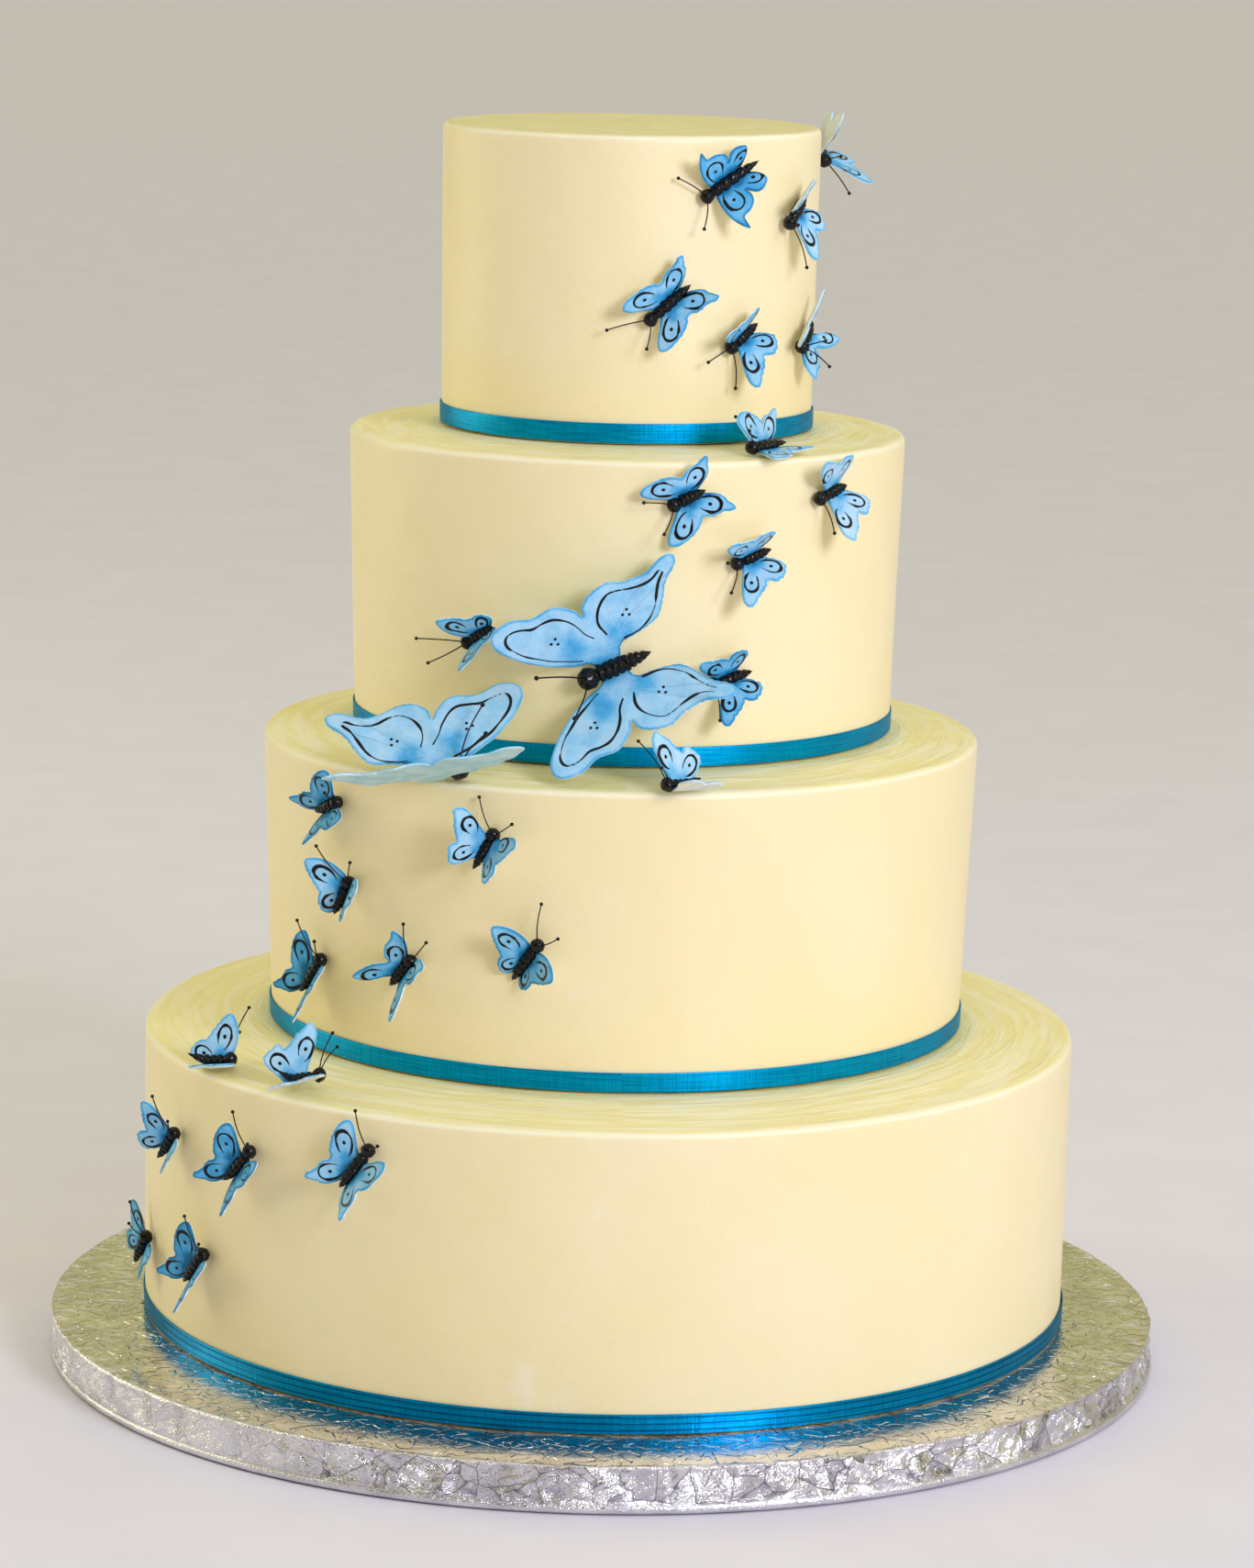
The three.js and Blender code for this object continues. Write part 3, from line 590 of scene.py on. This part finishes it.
def smooth_line(corners, per_span):
    """A smooth curve through the corners. Each span is a cubic through its ends, and the slope at a
    corner comes from the corners on either side."""
    corners = np.asarray(corners, dtype=float)
    padded = np.vstack([2 * corners[0] - corners[1], corners, 2 * corners[-1] - corners[-2]])
    a, b, c, d = (padded[k:len(padded) - 3 + k, None] for k in range(4))
    share = np.linspace(0, 1, per_span, endpoint=False)[None, :, None]
    spans = 0.5 * (2 * b + (c - a) * share + (2 * a - 5 * b + 4 * c - d) * share ** 2
                   + (3 * b - a - 3 * c + d) * share ** 3)
    return np.vstack([spans.reshape(-1, corners.shape[1]), corners[-1:]])


def even_steps(line, count):
    """The same line walked in count equal steps."""
    lengths = np.concatenate([[0], np.cumsum(np.hypot(*np.diff(line, axis=0).T))])
    walk = np.linspace(0, lengths[-1], count)
    return np.column_stack([np.interp(walk, lengths, line[:, axis]) for axis in (0, 1)])


def wing_edge(cut, size, count):
    """The wing's edge as evenly spaced points. From one corner backwards it has round waves 3 mm
    long, some deeper than others, with sharp notches between them."""
    depth, corner = EDGE_WAVES[cut]
    edge = even_steps(smooth_line(CUTTERS[cut], 10) * size, count)
    ahead = np.roll(edge, -1, axis=0) - np.roll(edge, 1, axis=0)
    outward = np.column_stack([-ahead[:, 1], ahead[:, 0]])
    outward /= np.maximum(np.hypot(*outward.T), 1e-6)[:, None]
    pace = np.hypot(*np.diff(edge, axis=0).T).mean()
    start = np.argmin(np.hypot(*(edge - np.array(CUTTERS[cut][corner]) * size).T))
    walk = (np.arange(count) - start) * pace
    height = depth * (0.6 + 0.4 * np.sin(0.9 * walk + 1.3)) * (np.abs(np.sin(math.pi * walk / 3)) - 0.7)
    height *= np.clip(walk / 2, 0, 1) * np.clip(edge[:, 0] / 5 - 0.6, 0, 1)
    return edge + outward * height[:, None]


def line_distance(spots, line):
    """The shortest distance from each spot to a line of short straight pieces."""
    start, step = line[:-1], np.diff(line, axis=0)
    offset = spots[:, None, :] - start[None]
    share = np.clip((offset * step).sum(2) / np.maximum((step ** 2).sum(1), 1e-9), 0, 1)
    return np.hypot(*np.moveaxis(offset - share[..., None] * step, 2, 0)).min(axis=1)


def lobe_paint(cut, size, lobe, spots):
    """How far each spot lies beyond a lobe's dot and to its side, and half its loop's width, or on a
    large wing the distance to the painted line. A small loop is brought to 2.9 half widths long."""
    if cut == "large":
        dot = np.array(LARGE_DOTS[lobe]) * size
        line = smooth_line(LARGE_LINES[lobe], 6) * size
        return np.column_stack([spots - dot, line_distance(spots, line)])
    dot, slant, reach, half = PAINTED_LOOPS[cut][lobe]
    slant = math.radians(slant)
    beyond = np.array((math.cos(slant), math.sin(slant)))
    beside = np.array((-beyond[1], beyond[0])) * (1 if lobe == 0 else -1)
    offset = spots - np.array(dot) * size
    return np.column_stack([offset @ beyond * (1.45 * half / reach), offset @ beside,
                            np.full(len(spots), half * size)])


def wing_mesh(cut, size, lift, side, tone):
    """Points, faces and paint values of one wing. Rings shrink from the edge towards the middle,
    above and below. The wing is cupped with the square of the distance from the fold, ripples a
    little, and is turned up about the fold by its lift."""
    large = cut == "large"
    count, ring_count = (320, 36) if large else (160, 12)
    edge = wing_edge(cut, size, count)
    middle = np.array(WING_MIDDLES[cut]) * size
    inset = 0.45 / ((18 if large else 11) * size)
    share = np.concatenate([np.linspace(0.06, 1 - 2.2 * inset, ring_count),
                            [1 - inset, 1 - 0.35 * inset, 1]])
    half = np.concatenate([np.ones(ring_count), [0.93, 0.6, 0]]) * WING_THICKNESS / 2
    rings = middle + (edge - middle) * share[:, None, None]
    flat = rings.reshape(-1, 2)
    paint = {
        "wing": np.column_stack([flat, line_distance(flat, edge[::2] if large else edge)]),
        "fore": lobe_paint(cut, size, 0, flat),
        "hind": lobe_paint(cut, size, 1, flat),
    }
    # The rings again in reverse are the underside, and the middle closes it at both ends.
    order = np.concatenate([np.arange(len(share)), np.arange(len(share) - 1)[::-1]])
    face = np.concatenate([np.ones(len(share) - 1), [0], -np.ones(len(share) - 1)])
    spots = np.vstack([middle, rings[order].reshape(-1, 2), middle])
    off = np.concatenate([half[:1], np.repeat(half[order] * face, count), -half[:1]])
    shades = {}
    for label, values in paint.items():
        values = values.reshape(len(share), count, 3)
        shades[label] = np.vstack([values[:1, 0], values[order].reshape(-1, 3), values[:1, 0]])
    faced = np.concatenate([[1], np.repeat(face, count), [-1]])
    shades["dusting"] = np.column_stack([faced, np.full((len(faced), 2), (tone, large))])
    out, ahead = np.maximum(spots[:, 0], 0), spots[:, 1]
    cup = WING_CUP * out ** 2 * 8 / (8 + size * 12)
    ripple = 0.2 * np.sin(ahead * 0.5 + out * 0.3) * np.clip(out / 8 - 0.3, 0, 1)
    if large:
        ripple = ripple + 0.45 * np.sin(ahead * 0.17 + 1) * np.clip(out / 20 - 0.3, 0, 1)
    off = off + cup + ripple
    turn = math.radians(lift)
    points = np.column_stack([ahead, side * (out * math.cos(turn) - off * math.sin(turn)),
                              out * math.sin(turn) + off * math.cos(turn) + FOLD_RISE])
    quads, triangles = skin_faces(len(order), count)
    if side < 0:
        quads, triangles = quads[:, ::-1], triangles[:, ::-1]
    return points, (quads, triangles), shades


BRUSH_TAKES = {"Lobe": "Vector", "Line Width": "Float", "Dot Radius": "Float"}


def brushed_loop_group():
    """The black brush work on a small lobe: 1 on the loop or the dot, 0 elsewhere. The loop is an egg
    round the dot, wider outwards and open towards the root, and thinner at its ends. Lobe holds
    the place beyond and beside the dot, and half the width."""
    group, given = new_group("brushed_loop", BRUSH_TAKES, ["Ink"])
    x, y, width = given["Lobe"].parts()
    reach = width * (1.6 - reckon("GREATER_THAN", x, 0.0) * 0.3)
    beyond = x / reach
    half = width * (beyond * 0.14 + 1.0)
    beside = y / half
    inside = beyond * beyond + beside * beside
    slope_x, slope_y = beyond / reach, beside / half
    slope = reckon("SQRT", slope_x * slope_x + slope_y * slope_y)
    away = reckon("ABSOLUTE", inside - 1.0) / (slope * 2.0 + 0.001)
    opening = beyond + beside * 0.28
    pressed = given["Line Width"] * noise(object_place(group), 0.2, 1.0).ease(0.32, 0.68, 0.65, 1.45)
    pressed = pressed * opening.ease(-0.78, -0.2, 0.4, 1.0)
    line = (away - pressed * 0.5).ease(0.1, -0.08) * opening.ease(-0.9, -0.78)
    dot = (reckon("LENGTH", vector_of(x, y, 0.0)) - given["Dot Radius"]).ease(0.1, -0.08)
    add_node(group, "NodeGroupOutput", {"Ink": reckon("MAXIMUM", line, dot)})
    return group


def brushed_line_group():
    """The black brush work on a large lobe: 1 on the line or a dot, 0 elsewhere. Lobe holds the place
    from the middle of the three dots, and the distance to the line."""
    group, given = new_group("brushed_line", BRUSH_TAKES, ["Ink"])
    x, y, off_line = given["Lobe"].parts()
    pressed = given["Line Width"] * noise(object_place(group), 0.09, 1.0).ease(0.38, 0.66, 0.55, 1.45)
    ink = (off_line - pressed * 0.5).ease(0.1, -0.08)
    place = vector_of(x, y, 0.0)
    for spot in ((0.0, 1.5, 0.0), (-1.2, -0.9, 0.0), (1.4, -0.7, 0.0)):
        dot = (reckon("DISTANCE", place, spot) - given["Dot Radius"]).ease(0.1, -0.08)
        ink = reckon("MAXIMUM", ink, dot)
    add_node(group, "NodeGroupOutput", {"Ink": ink})
    return group


def colour_ramp(share, stops):
    """The colour at a share of 0 to 1 on a ramp between stops, each a position and a colour."""
    made = share.tree.nodes.new("ShaderNodeValToRGB")
    feed(made, {"Fac": share})
    for position, _ in stops[1:-1]:
        made.color_ramp.elements.new(position)
    for element, (position, value) in zip(made.color_ramp.elements, stops):
        element.position, element.color = position, value
    return Signal(made.outputs["Color"])


def dusted_paste(name, brush_work, line_width, dot_radius, root_reach, smudge_back):
    """Pale blue flower paste, dusted a stronger blue above: most at the root, in a smudge behind each
    dot and in a line along the edge. The cut edge is whitish, and the underside is creamy on a
    small wing and teal on a large one."""
    material, tree, shader = new_material(name)
    shade = {label: add_node(tree, "ShaderNodeAttribute", attribute_name=label)["Vector"]
             for label in ("wing", "fore", "hind", "dusting")}
    off_fold, _, off_edge = shade["wing"].parts()
    face, tone, large = shade["dusting"].parts()
    upper = face.ease(0.0, 0.6)
    ink = smudge = 0.0
    for lobe in ("fore", "hind"):
        brushed = add_node(tree, "ShaderNodeGroup", {
            "Lobe": shade[lobe], "Line Width": line_width, "Dot Radius": dot_radius,
        }, node_tree=brush_work)["Ink"]
        ink = reckon("MAXIMUM", ink, brushed)
        reach = reckon("DISTANCE", shade[lobe] * (1.0, 1.0, 0.0), smudge_back[lobe])
        smudge = smudge + reach.ease(root_reach * 0.62, root_reach * 0.1, 0.0, 0.3)
    ink = ink * upper
    puffs, specks = patches(tree, 8.0, 0.3, 0.7), patches(tree, 0.9, 0.3, 0.7)
    at_root = off_fold.ease(root_reach, 0.5, 0.0, 0.42)
    at_edge = off_edge.ease(1.4, 0.4, 0.0, 0.3)
    dust = tone + at_root + (at_edge + smudge) + (puffs - 0.5) * 0.2 + (specks - 0.5) * 0.07
    dusted = colour_ramp(dust, ((0.0, colour(208, 231, 246)), (0.34, colour(160, 212, 242)),
                                (0.66, colour(78, 176, 228)), (1.0, colour(6, 116, 168))))
    under = puffs.mix(large.mix(colour(240, 240, 232), colour(198, 226, 226)),
                      large.mix(colour(210, 226, 230), colour(156, 206, 220)))
    rim = puffs.mix(colour(238, 245, 250), colour(200, 226, 244))
    base = upper.mix(face.ease(-0.6, 0.0).mix(under, rim), dusted)
    feed(shader, {
        "Base Color": ink.mix(base, colour(4, 4, 7)),
        "Roughness": ink.ease(0.0, 1.0, 0.58, 0.36),
        "Normal": relief(specks * 0.05 + ink * 0.05 + puffs * 0.2),
        "Specular IOR Level": 0.3,
        "Subsurface Weight": 0.08,
        "Subsurface Radius": (0.6, 0.8, 1.0),
        "Subsurface Scale": 0.8 * MM,
    })
    return material


small_paste = dusted_paste("small_wing_paste", brushed_loop_group(), 0.95, 0.68, 6.5,
                           {"fore": (-5.0, 0.0, 0.0), "hind": (-5.0, 0.0, 0.0)})
large_paste = dusted_paste("large_wing_paste", brushed_line_group(), 0.88, 0.62, 14.0,
                           {"fore": (-6.0, -5.5, 0.0), "hind": (-6.5, 5.0, 0.0)})


# Butterfly bodies.
# Black flower paste is rolled to a fat carrot, ringed with the edge of a knife and pressed into the
# fold, with a ball for the head. Two wires with a bead at each end are pushed into the head.

HEAD_RISE = 0.5
# The thickest radius, the head's radius, the middle's rise above the fold, and the pressed rings.
SMALL_BODY = (2.6, 2.9, 2.0, 6)
LARGE_BODY = (3.6, 4.4, 3.0, 9)
WIRE_RADIUS = 0.26
BEAD_RADIUS = 0.74
LARGE_WIRE_SCALE = 1.3


def turned_flat(points, skew):
    """Points turned about +Z by an angle in degrees."""
    turn = math.radians(skew)
    return points @ np.array([[math.cos(turn), math.sin(turn), 0], [-math.sin(turn), math.cos(turn), 0],
                              [0, 0, 1]])


def body_mesh(cut, ahead, behind, skew, tail_lift):
    """Points and faces of a body along +X: a smooth curve from the tail's tip to the neck, then a
    ball. Its rings are a wave with round crests and sharp hollows. The lower half is pressed
    flatter, and the tail bends up with the square of the distance."""
    girth, ball, rise, rings = LARGE_BODY if cut == "large" else SMALL_BODY
    sides = 36 if cut == "large" else 26
    neck = ahead - ball * 0.9
    along, radius = smooth_line((
        (-behind, 0.04), (-behind * 0.8, girth * 0.5), (-behind * 0.5, girth * 0.84),
        (-behind * 0.15, girth), (neck * 0.55, girth * 0.98), (neck, ball * 0.78)), 16).T
    share = (along + behind) / (neck + behind)
    ring = 1 - np.abs(np.sin(math.pi * rings * share ** 0.9))
    radius = radius * (1 - (0.3 if cut == "large" else 0.25) * ring ** 2 * np.clip(share * 5, 0, 1))
    turn = np.linspace(math.radians(146), 0, 14)[1:]
    rows = np.vstack([[(0, -behind - 0.2)], np.column_stack([radius, along]),
                      np.column_stack([ball * np.sin(turn), ahead + ball * np.cos(turn)])])
    rows[-1, 0] = 0
    points, faces = turned_mesh(rows, sides)
    x, y, along = points.T
    around = np.arctan2(x, -y)
    swell = 1 + 0.035 * np.sin(3 * around + 1.3 * along) + 0.03 * np.sin(5 * around - 2.1 * along)
    across, over = x * swell, -y * swell
    over = np.where(over < 0, over * np.interp(along, (neck, neck + ball * 0.5), (0.6, 1.0)), over)
    back = np.minimum(along / behind, 0)
    lift = rise + HEAD_RISE * np.clip((along - neck) / ball, 0, 1) + tail_lift * back ** 2
    return turned_flat(np.column_stack([along, across, lift + over]), skew), faces


def wire_mesh(path, radius, sides):
    """Points and faces of a round wire along a path of points, closed with a point at each end."""
    ahead = np.gradient(path, axis=0)
    ahead /= np.linalg.norm(ahead, axis=1)[:, None]
    over = np.cross(ahead, (0.31, 0.17, 0.93))
    over /= np.linalg.norm(over, axis=1)[:, None]
    across = np.cross(ahead, over)
    angle = np.arange(sides) * 2 * math.pi / sides
    ring = np.cos(angle)[None, :, None] * over[:, None] + np.sin(angle)[None, :, None] * across[:, None]
    points = np.vstack([path[:1], (path[:, None] + radius * ring).reshape(-1, 3), path[-1:]])
    return points, skin_faces(len(path), sides)


def joined(parts):
    """Several lots of points and faces as one."""
    starts = np.cumsum([0] + [len(points) for points, _ in parts])
    faces = [np.vstack([lot[kind] + start for (_, lot), start in zip(parts, starts)]) for kind in (0, 1)]
    return np.vstack([points for points, _ in parts]), faces


def feeler_mesh(cut, ahead, skew, spread, lift, length):
    """Points and faces of a feeler: a wire that bows up and out by a twentieth of its length, and a
    round bead on its end. Spread and lift turn it from straight ahead."""
    scale = LARGE_WIRE_SCALE if cut == "large" else 1.0
    rise = (LARGE_BODY if cut == "large" else SMALL_BODY)[2]
    share = np.linspace(0, 1, 18)
    bow = np.sin(math.pi * share) * length
    line = np.column_stack([length * share, 0.03 * bow * np.sign(spread), 0.05 * bow])
    turn = np.linspace(math.pi, 0, 11)
    ball, ball_faces = turned_mesh(np.column_stack([np.sin(turn), np.cos(turn)]) * BEAD_RADIUS * scale, 14)
    points, faces = joined([wire_mesh(line, WIRE_RADIUS * scale, 8), (ball + line[-1], ball_faces)])
    e = math.radians(lift)
    points = points @ np.array([[math.cos(e), 0, math.sin(e)], [0, 1, 0], [-math.sin(e), 0, math.cos(e)]])
    return turned_flat(turned_flat(points, spread) + (ahead, 0, rise + HEAD_RISE), skew), faces


def black_paste():
    """Deep black paste with a wet gloss, a little lumpy."""
    material, tree, shader = new_material("black_paste")
    lumps, pits = patches(tree, 1.5, 0.2, 0.8), patches(tree, 0.5, 0.3, 0.7)
    feed(shader, {
        "Base Color": lumps.mix(colour(4, 3, 4), colour(9, 7, 9)),
        "Roughness": pits * 0.1 + 0.16,
        "Normal": relief(lumps * 0.4 + pits * 0.05),
        "Specular IOR Level": 0.08,
        "Coat Weight": 0.4,
        "Coat Roughness": 0.05,
    })
    return material


glossy_black = black_paste()


# Placing the butterflies.
# They are stuck on with a dab of icing, in a trail that winds from the upper right to the lower
# left. On a wall the fold touches the icing, and on a ledge the butterfly sits near the lip.

# How far the lowest point of a butterfly stays off the surface of its tier.
DAB = 0.38

# Cutter, tier, whether on its ledge, degrees round from the front, height up the wall or distance
# from the tier's axis, heading from the right-hand tangent, lift of the left and right wing, size,
# nose up, skew of the body, tail lift, head ahead, tail behind, strength of the blue, then spread,
# lift and length of the left feeler and of the right one.
BUTTERFLIES = [
    ("hook", 4, 0, 23.8, 100.7, -144, 38, 28, 0.98, -5, -2, 1.3, 6.7, 18.2, 0.6, 41, 25, 13.5, -64, -4, 14),
    ("fan", 4, 0, 101.1, 107.9, -160, 72, 16, 1.05, -6, 0, 0, 4.9, 11, 0.4, 35, 32, 17.5, -31, 17, 14),
    ("shell", 4, 0, 53.6, 89.6, -150, 35, 45, 0.92, 8, 3, 0.1, 7.8, 10.9, 0.3, 62, 18, 18.5, -30, 40, 12),
    ("tail", 4, 0, 7.9, 54.1, -137, 41, 32, 1.02, 1, -2, 0.5, 7.3, 13.4, 0.42, 34, 35, 13.5, -27, -4, 17.5),
    ("shell", 4, 0, 31.9, 41.3, -142, 42, 51, 0.94, 5, -3, 1.1, 5.6, 9.9, 0.42, 56, 6, 16, -12, 3, 13.5),
    ("leaf", 4, 0, 62.2, 39.3, -145, 37, 35, 0.99, 5, -1, 0, 5.9, 11, 0.35, 63, 54, 13.5, -59, 60, 14),
    ("tail", 3, 1, 27.8, 101.2, -148, 0, 79, 1.06, -2, -11, 0, 4.4, 17.6, 0.3, 30, 40, 12, -32, 60, 14),
    ("tail", 3, 0, 8.3, 105, -149, 20, 27, 0.96, -5, -5, 0.1, 3.3, 10.2, 0.4, 40, 36, 13.5, -34, 23, 13.5),
    ("fan", 3, 0, 41.7, 105.6, -158, 48, 34, 1.02, 3, -6, 1.2, 6.9, 8.5, 0.2, 66, 35, 15.5, -30, 40, 12),
    ("shell", 3, 0, 22.3, 82.1, -158, 46, 52, 0.97, 4, -3, 1.4, 5.4, 10, 0.35, 41, 27, 13.5, -28, 44, 13.5),
    ("kite", 3, 0, -31.5, 49.7, -145, 58, 47, 0.92, -9, -5, 1.3, 7, 8.6, 0.42, 2, 34, 17.5, -38, 38, 20),
    ("large", 3, 0, -4.8, 39.5, -154, 41, 24, 1, 8, -2, 0, 9.9, 16.6, 0.34, 41, 50, 23, -27, 26, 23),
    ("shell", 3, 0, 18.6, 34.9, -156, 46, 41, 0.91, 4, -9, 0.4, 6.1, 11, 0.55, 67, 37, 16, -30, 30, 12),
    ("fan", 2, 1, 6.4, 144.2, -153, 18, 75, 1.02, 5, 2, 3, 5.2, 10.9, 0.2, 35, 35, 13, -54, 49, 20),
    ("large", 2, 1, -31.7, 146, 29, 48, 20, 1, 10, -4, 4, 10.3, 10, 0.3, 46, 52, 27, -27, 41, 20),
    ("tail", 2, 0, -52.1, 102.3, 30, 38, 41, 0.96, 2, -8, 0.5, 3.9, 11.7, 0.6, 30, 50, 11, -32, 50, 11),
    ("fan", 2, 0, -22.3, 95.9, 64, 51, 51, 1.03, -5, -2, 1.3, 4.5, 10.9, 0.35, 51, 1, 15.5, -32, 32, 13.5),
    ("kite", 2, 0, -48.7, 68.8, 73, 49, 39, 1.01, -10, -5, 1, 3.9, 10.4, 0.4, 54, 39, 19.5, -16, 34, 13.5),
    ("tail", 2, 0, -57.4, 31.8, 57, 27, 40, 0.98, -8, 0, 1.7, 7.7, 9.6, 0.62, 62, 24, 18, -3, 39, 13.5),
    ("leaf", 2, 0, -37.2, 41.9, 52, 37, 42, 1, 3, -5, 0.5, 6.1, 9.2, 0.5, 39, 18, 17, -3, 8, 13.5),
    ("kite", 2, 0, -15.8, 52.8, 56, 28, 45, 0.99, 13, -2, 0.4, 7.7, 11.5, 0.5, 30, -5, 17, -24, 23, 13.5),
    ("kite", 1, 1, -59.3, 182.5, 49, 83, 10, 0.99, 6, -3, 3.6, 5.1, 12.1, 0.3, 68, 49, 23, 82, 36, 14),
    ("fan", 1, 1, -44.6, 177.1, 47, 76, 17, 1.01, 13, -7, 5, 8.2, 6.9, 0.25, 59, 42, 18.5, 47, 32, 14),
    ("shell", 1, 0, -65.5, 85.7, 55, 56, 32, 0.9, -8, -2, 1.9, 3.8, 11.1, 0.45, 40, 36, 18.5, -10, 36, 12),
    ("tail", 1, 0, -49.6, 88.1, 52, 40, 37, 1.02, -4, -4, 2.4, 7.8, 10.3, 0.65, 54, 22, 17.5, -12, 40, 12),
    ("tail", 1, 0, -31.8, 97.9, 52, 22, 39, 1.02, -2, 1, 1.3, 8.4, 11.5, 0.4, 57, 4, 16, -26, 40, 13.5),
    ("fan", 1, 0, -77, 32.7, 66, 18, 13, 0.86, -14, -6, 0, 4, 11, 0.6, 54, 31, 15.5, -17, 50, 13.5),
    ("tail", 1, 0, -58.6, 40.6, 52, 31, 40, 1, -6, -1, 1.2, 6.4, 11, 0.65, 55, 24, 17, -10, 36, 12),
]


def perch(level, ledge, azimuth, height, heading, nose):
    """Where a butterfly's fold meets the icing, its forward, left and outward directions as rows,
    and the direction away from the icing."""
    around, turn, tip = (math.radians(value) for value in (azimuth, heading, nose))
    tangent = np.array((math.cos(around), math.sin(around), 0))
    outward = np.array((math.sin(around), -math.cos(around), 0))
    up = np.array((0, 0, 1.0))
    across, away = (-outward, up) if ledge else (up, outward)
    reach = height if ledge else wall_radius(level, height)
    foot = BOARD_HEIGHT + TIER_PITCH * (level + 1 if ledge else level) + (0 if ledge else height)
    forward = math.cos(turn) * tangent + math.sin(turn) * across
    left = np.cross(away, forward)
    tipped = math.cos(tip) * forward + math.sin(tip) * away
    lifted = -math.sin(tip) * forward + math.cos(tip) * away
    return outward * reach + (SHIFT[level], 0, foot), np.stack([tipped, left, lifted]), away


def clear_of_icing(points, level, ledge):
    """The least distance from the points to the surface that the butterfly sits on."""
    x, y, z = points.T
    reach = np.hypot(x - SHIFT[level], y)
    rise = z - BOARD_HEIGHT - level * TIER_PITCH - TIER_GAP
    gap = reach - (FOOT_RADIUS[level] + FLARE[level] * rise / TIER_PITCH)
    if ledge:
        top = BOARD_HEIGHT + (level + 1) * TIER_PITCH - top_fall(level, reach)
        gap = np.maximum(z - top, gap)
    return gap.min()


for number, butterfly in enumerate(BUTTERFLIES, 1):
    (cut, tier, ledge, azimuth, height, heading, left_lift, right_lift, size, nose, skew, tail_lift,
     ahead, behind, tone, *feelers) = butterfly
    level = tier - 1
    wings = [wing_mesh(cut, size, left_lift, 1, tone), wing_mesh(cut, size, right_lift, -1, tone)]
    rolled = body_mesh(cut, ahead, behind, skew, tail_lift)
    wires = [feeler_mesh(cut, ahead, skew, *feelers[k:k + 3]) for k in (0, 3)]
    spot, axes, away = perch(level, ledge, azimuth, height, heading, nose)
    resting = np.vstack([wings[0][0], wings[1][0], rolled[0]])
    for _ in range(3):
        spot = spot + away * (DAB - clear_of_icing(resting @ axes + spot, level, ledge))
    name = f"butterfly_{number:02d}"
    large = cut == "large"
    dark_points, dark_faces = joined([rolled] + wires)
    add_piece(f"{name}_dark", dark_points @ axes + spot, dark_faces, glossy_black,
              [f"{name}_body" if large else name])
    paste = large_paste if large else small_paste
    for label, (points, faces, shades) in zip(("left", "right"), wings):
        add_piece(f"{name}_paste_{label}", points @ axes + spot, faces, paste,
                  [f"{name}_wing_{label}" if large else name], shades)


# Floor, light and camera.
# The cake stands on a pale table that runs on behind it. A soft light stands to the right of the
# camera, a weaker one fills from the left, and the room is warm and greenish low down, white above.

def plain_floor():
    """A pale matt table top with very faint patches, half a millimetre below the board."""
    material, tree, shader = new_material("pale_table")
    shade = patches(tree, 60.0, 0.2, 0.8).mix(colour(226, 221, 229), colour(230, 226, 233))
    feed(shader, {"Base Color": shade, "Roughness": 0.7})
    mesh = bpy.data.meshes.new("table_top")
    reach, drop = 30.0, -0.5 * MM
    mesh.from_pydata([(-reach, -reach, drop), (reach, -reach, drop), (reach, reach, drop),
                      (-reach, reach, drop)], [], [(0, 1, 2, 3)])
    mesh.materials.append(material)
    table = bpy.data.objects.new("table_top", mesh)
    bpy.context.scene.collection.objects.link(table)


def soft_light(name, power, width, height, place, tint):
    """A rectangular area light at a place, turned towards the middle of the cake, in metres."""
    lamp = bpy.data.lights.new(name, "AREA")
    lamp.shape = "RECTANGLE"
    lamp.size, lamp.size_y, lamp.energy, lamp.color = width, height, power, tint
    light = bpy.data.objects.new(name, lamp)
    away = Vector(place) - Vector((0, 0, 0.25))
    light.matrix_world = Matrix.Translation(place) @ away.to_track_quat("Z", "Y").to_matrix().to_4x4()
    bpy.context.scene.collection.objects.link(light)


def pale_room():
    """A room whose walls are a warm green low down and turn white towards the ceiling, with a
    darker doorway ahead of the cake and to its left."""
    world = bpy.data.worlds.new("pale_room")
    world.use_nodes = True
    tree = world.node_tree
    towards = add_node(tree, "ShaderNodeTexCoord")["Generated"]
    walls = colour_ramp(towards.parts()[2], (
        (0.0, (0.42, 0.42, 0.16, 1)), (0.25, (0.58, 0.54, 0.22, 1)),
        (0.6, (0.85, 0.81, 0.58, 1)), (1.0, (0.95, 0.97, 1.03, 1))))
    doorway = reckon("DOT_PRODUCT", towards, (-0.46, -0.87, 0.17)).ease(0.74, 0.9, 0.0, 0.85)
    feed(tree.nodes["Background"], {"Color": doorway.mix(walls, (0.08, 0.07, 0.04, 1)), "Strength": 0.88})
    bpy.context.scene.world = world


plain_floor()
pale_room()
soft_light("window", 39, 0.8, 0.8, (1.35, -2.25, 1.3), (0.92, 0.96, 1.24))
soft_light("left_wall", 15, 1.2, 1.4, (-2.2, 0.9, 0.7), (1.0, 0.96, 0.7))
bpy.context.scene.view_settings.view_transform = "Standard"


def add_camera():
    """The camera. It stands level and faces the back, turns to the right, looks down and leans over
    by these angles. Its focal length is in dots of a picture 1709 dots high."""
    turn, down, lean = np.radians((2.528, 10.452, 1.2))
    lens = bpy.data.cameras.new("camera")
    lens.sensor_fit = "VERTICAL"
    lens.sensor_height = 36.0
    lens.lens = 5720.5 / 1709 * lens.sensor_height
    lens.clip_end = 80
    camera = bpy.data.objects.new("camera", lens)
    camera.matrix_world = (
        Matrix.Translation((-0.0869, -2.1034, 0.6242)) @ Matrix.Rotation(-turn, 4, "Z")
        @ Matrix.Rotation(math.pi / 2 - down, 4, "X") @ Matrix.Rotation(lean, 4, "Z"))
    bpy.context.scene.collection.objects.link(camera)
    bpy.context.scene.camera = camera


add_camera()
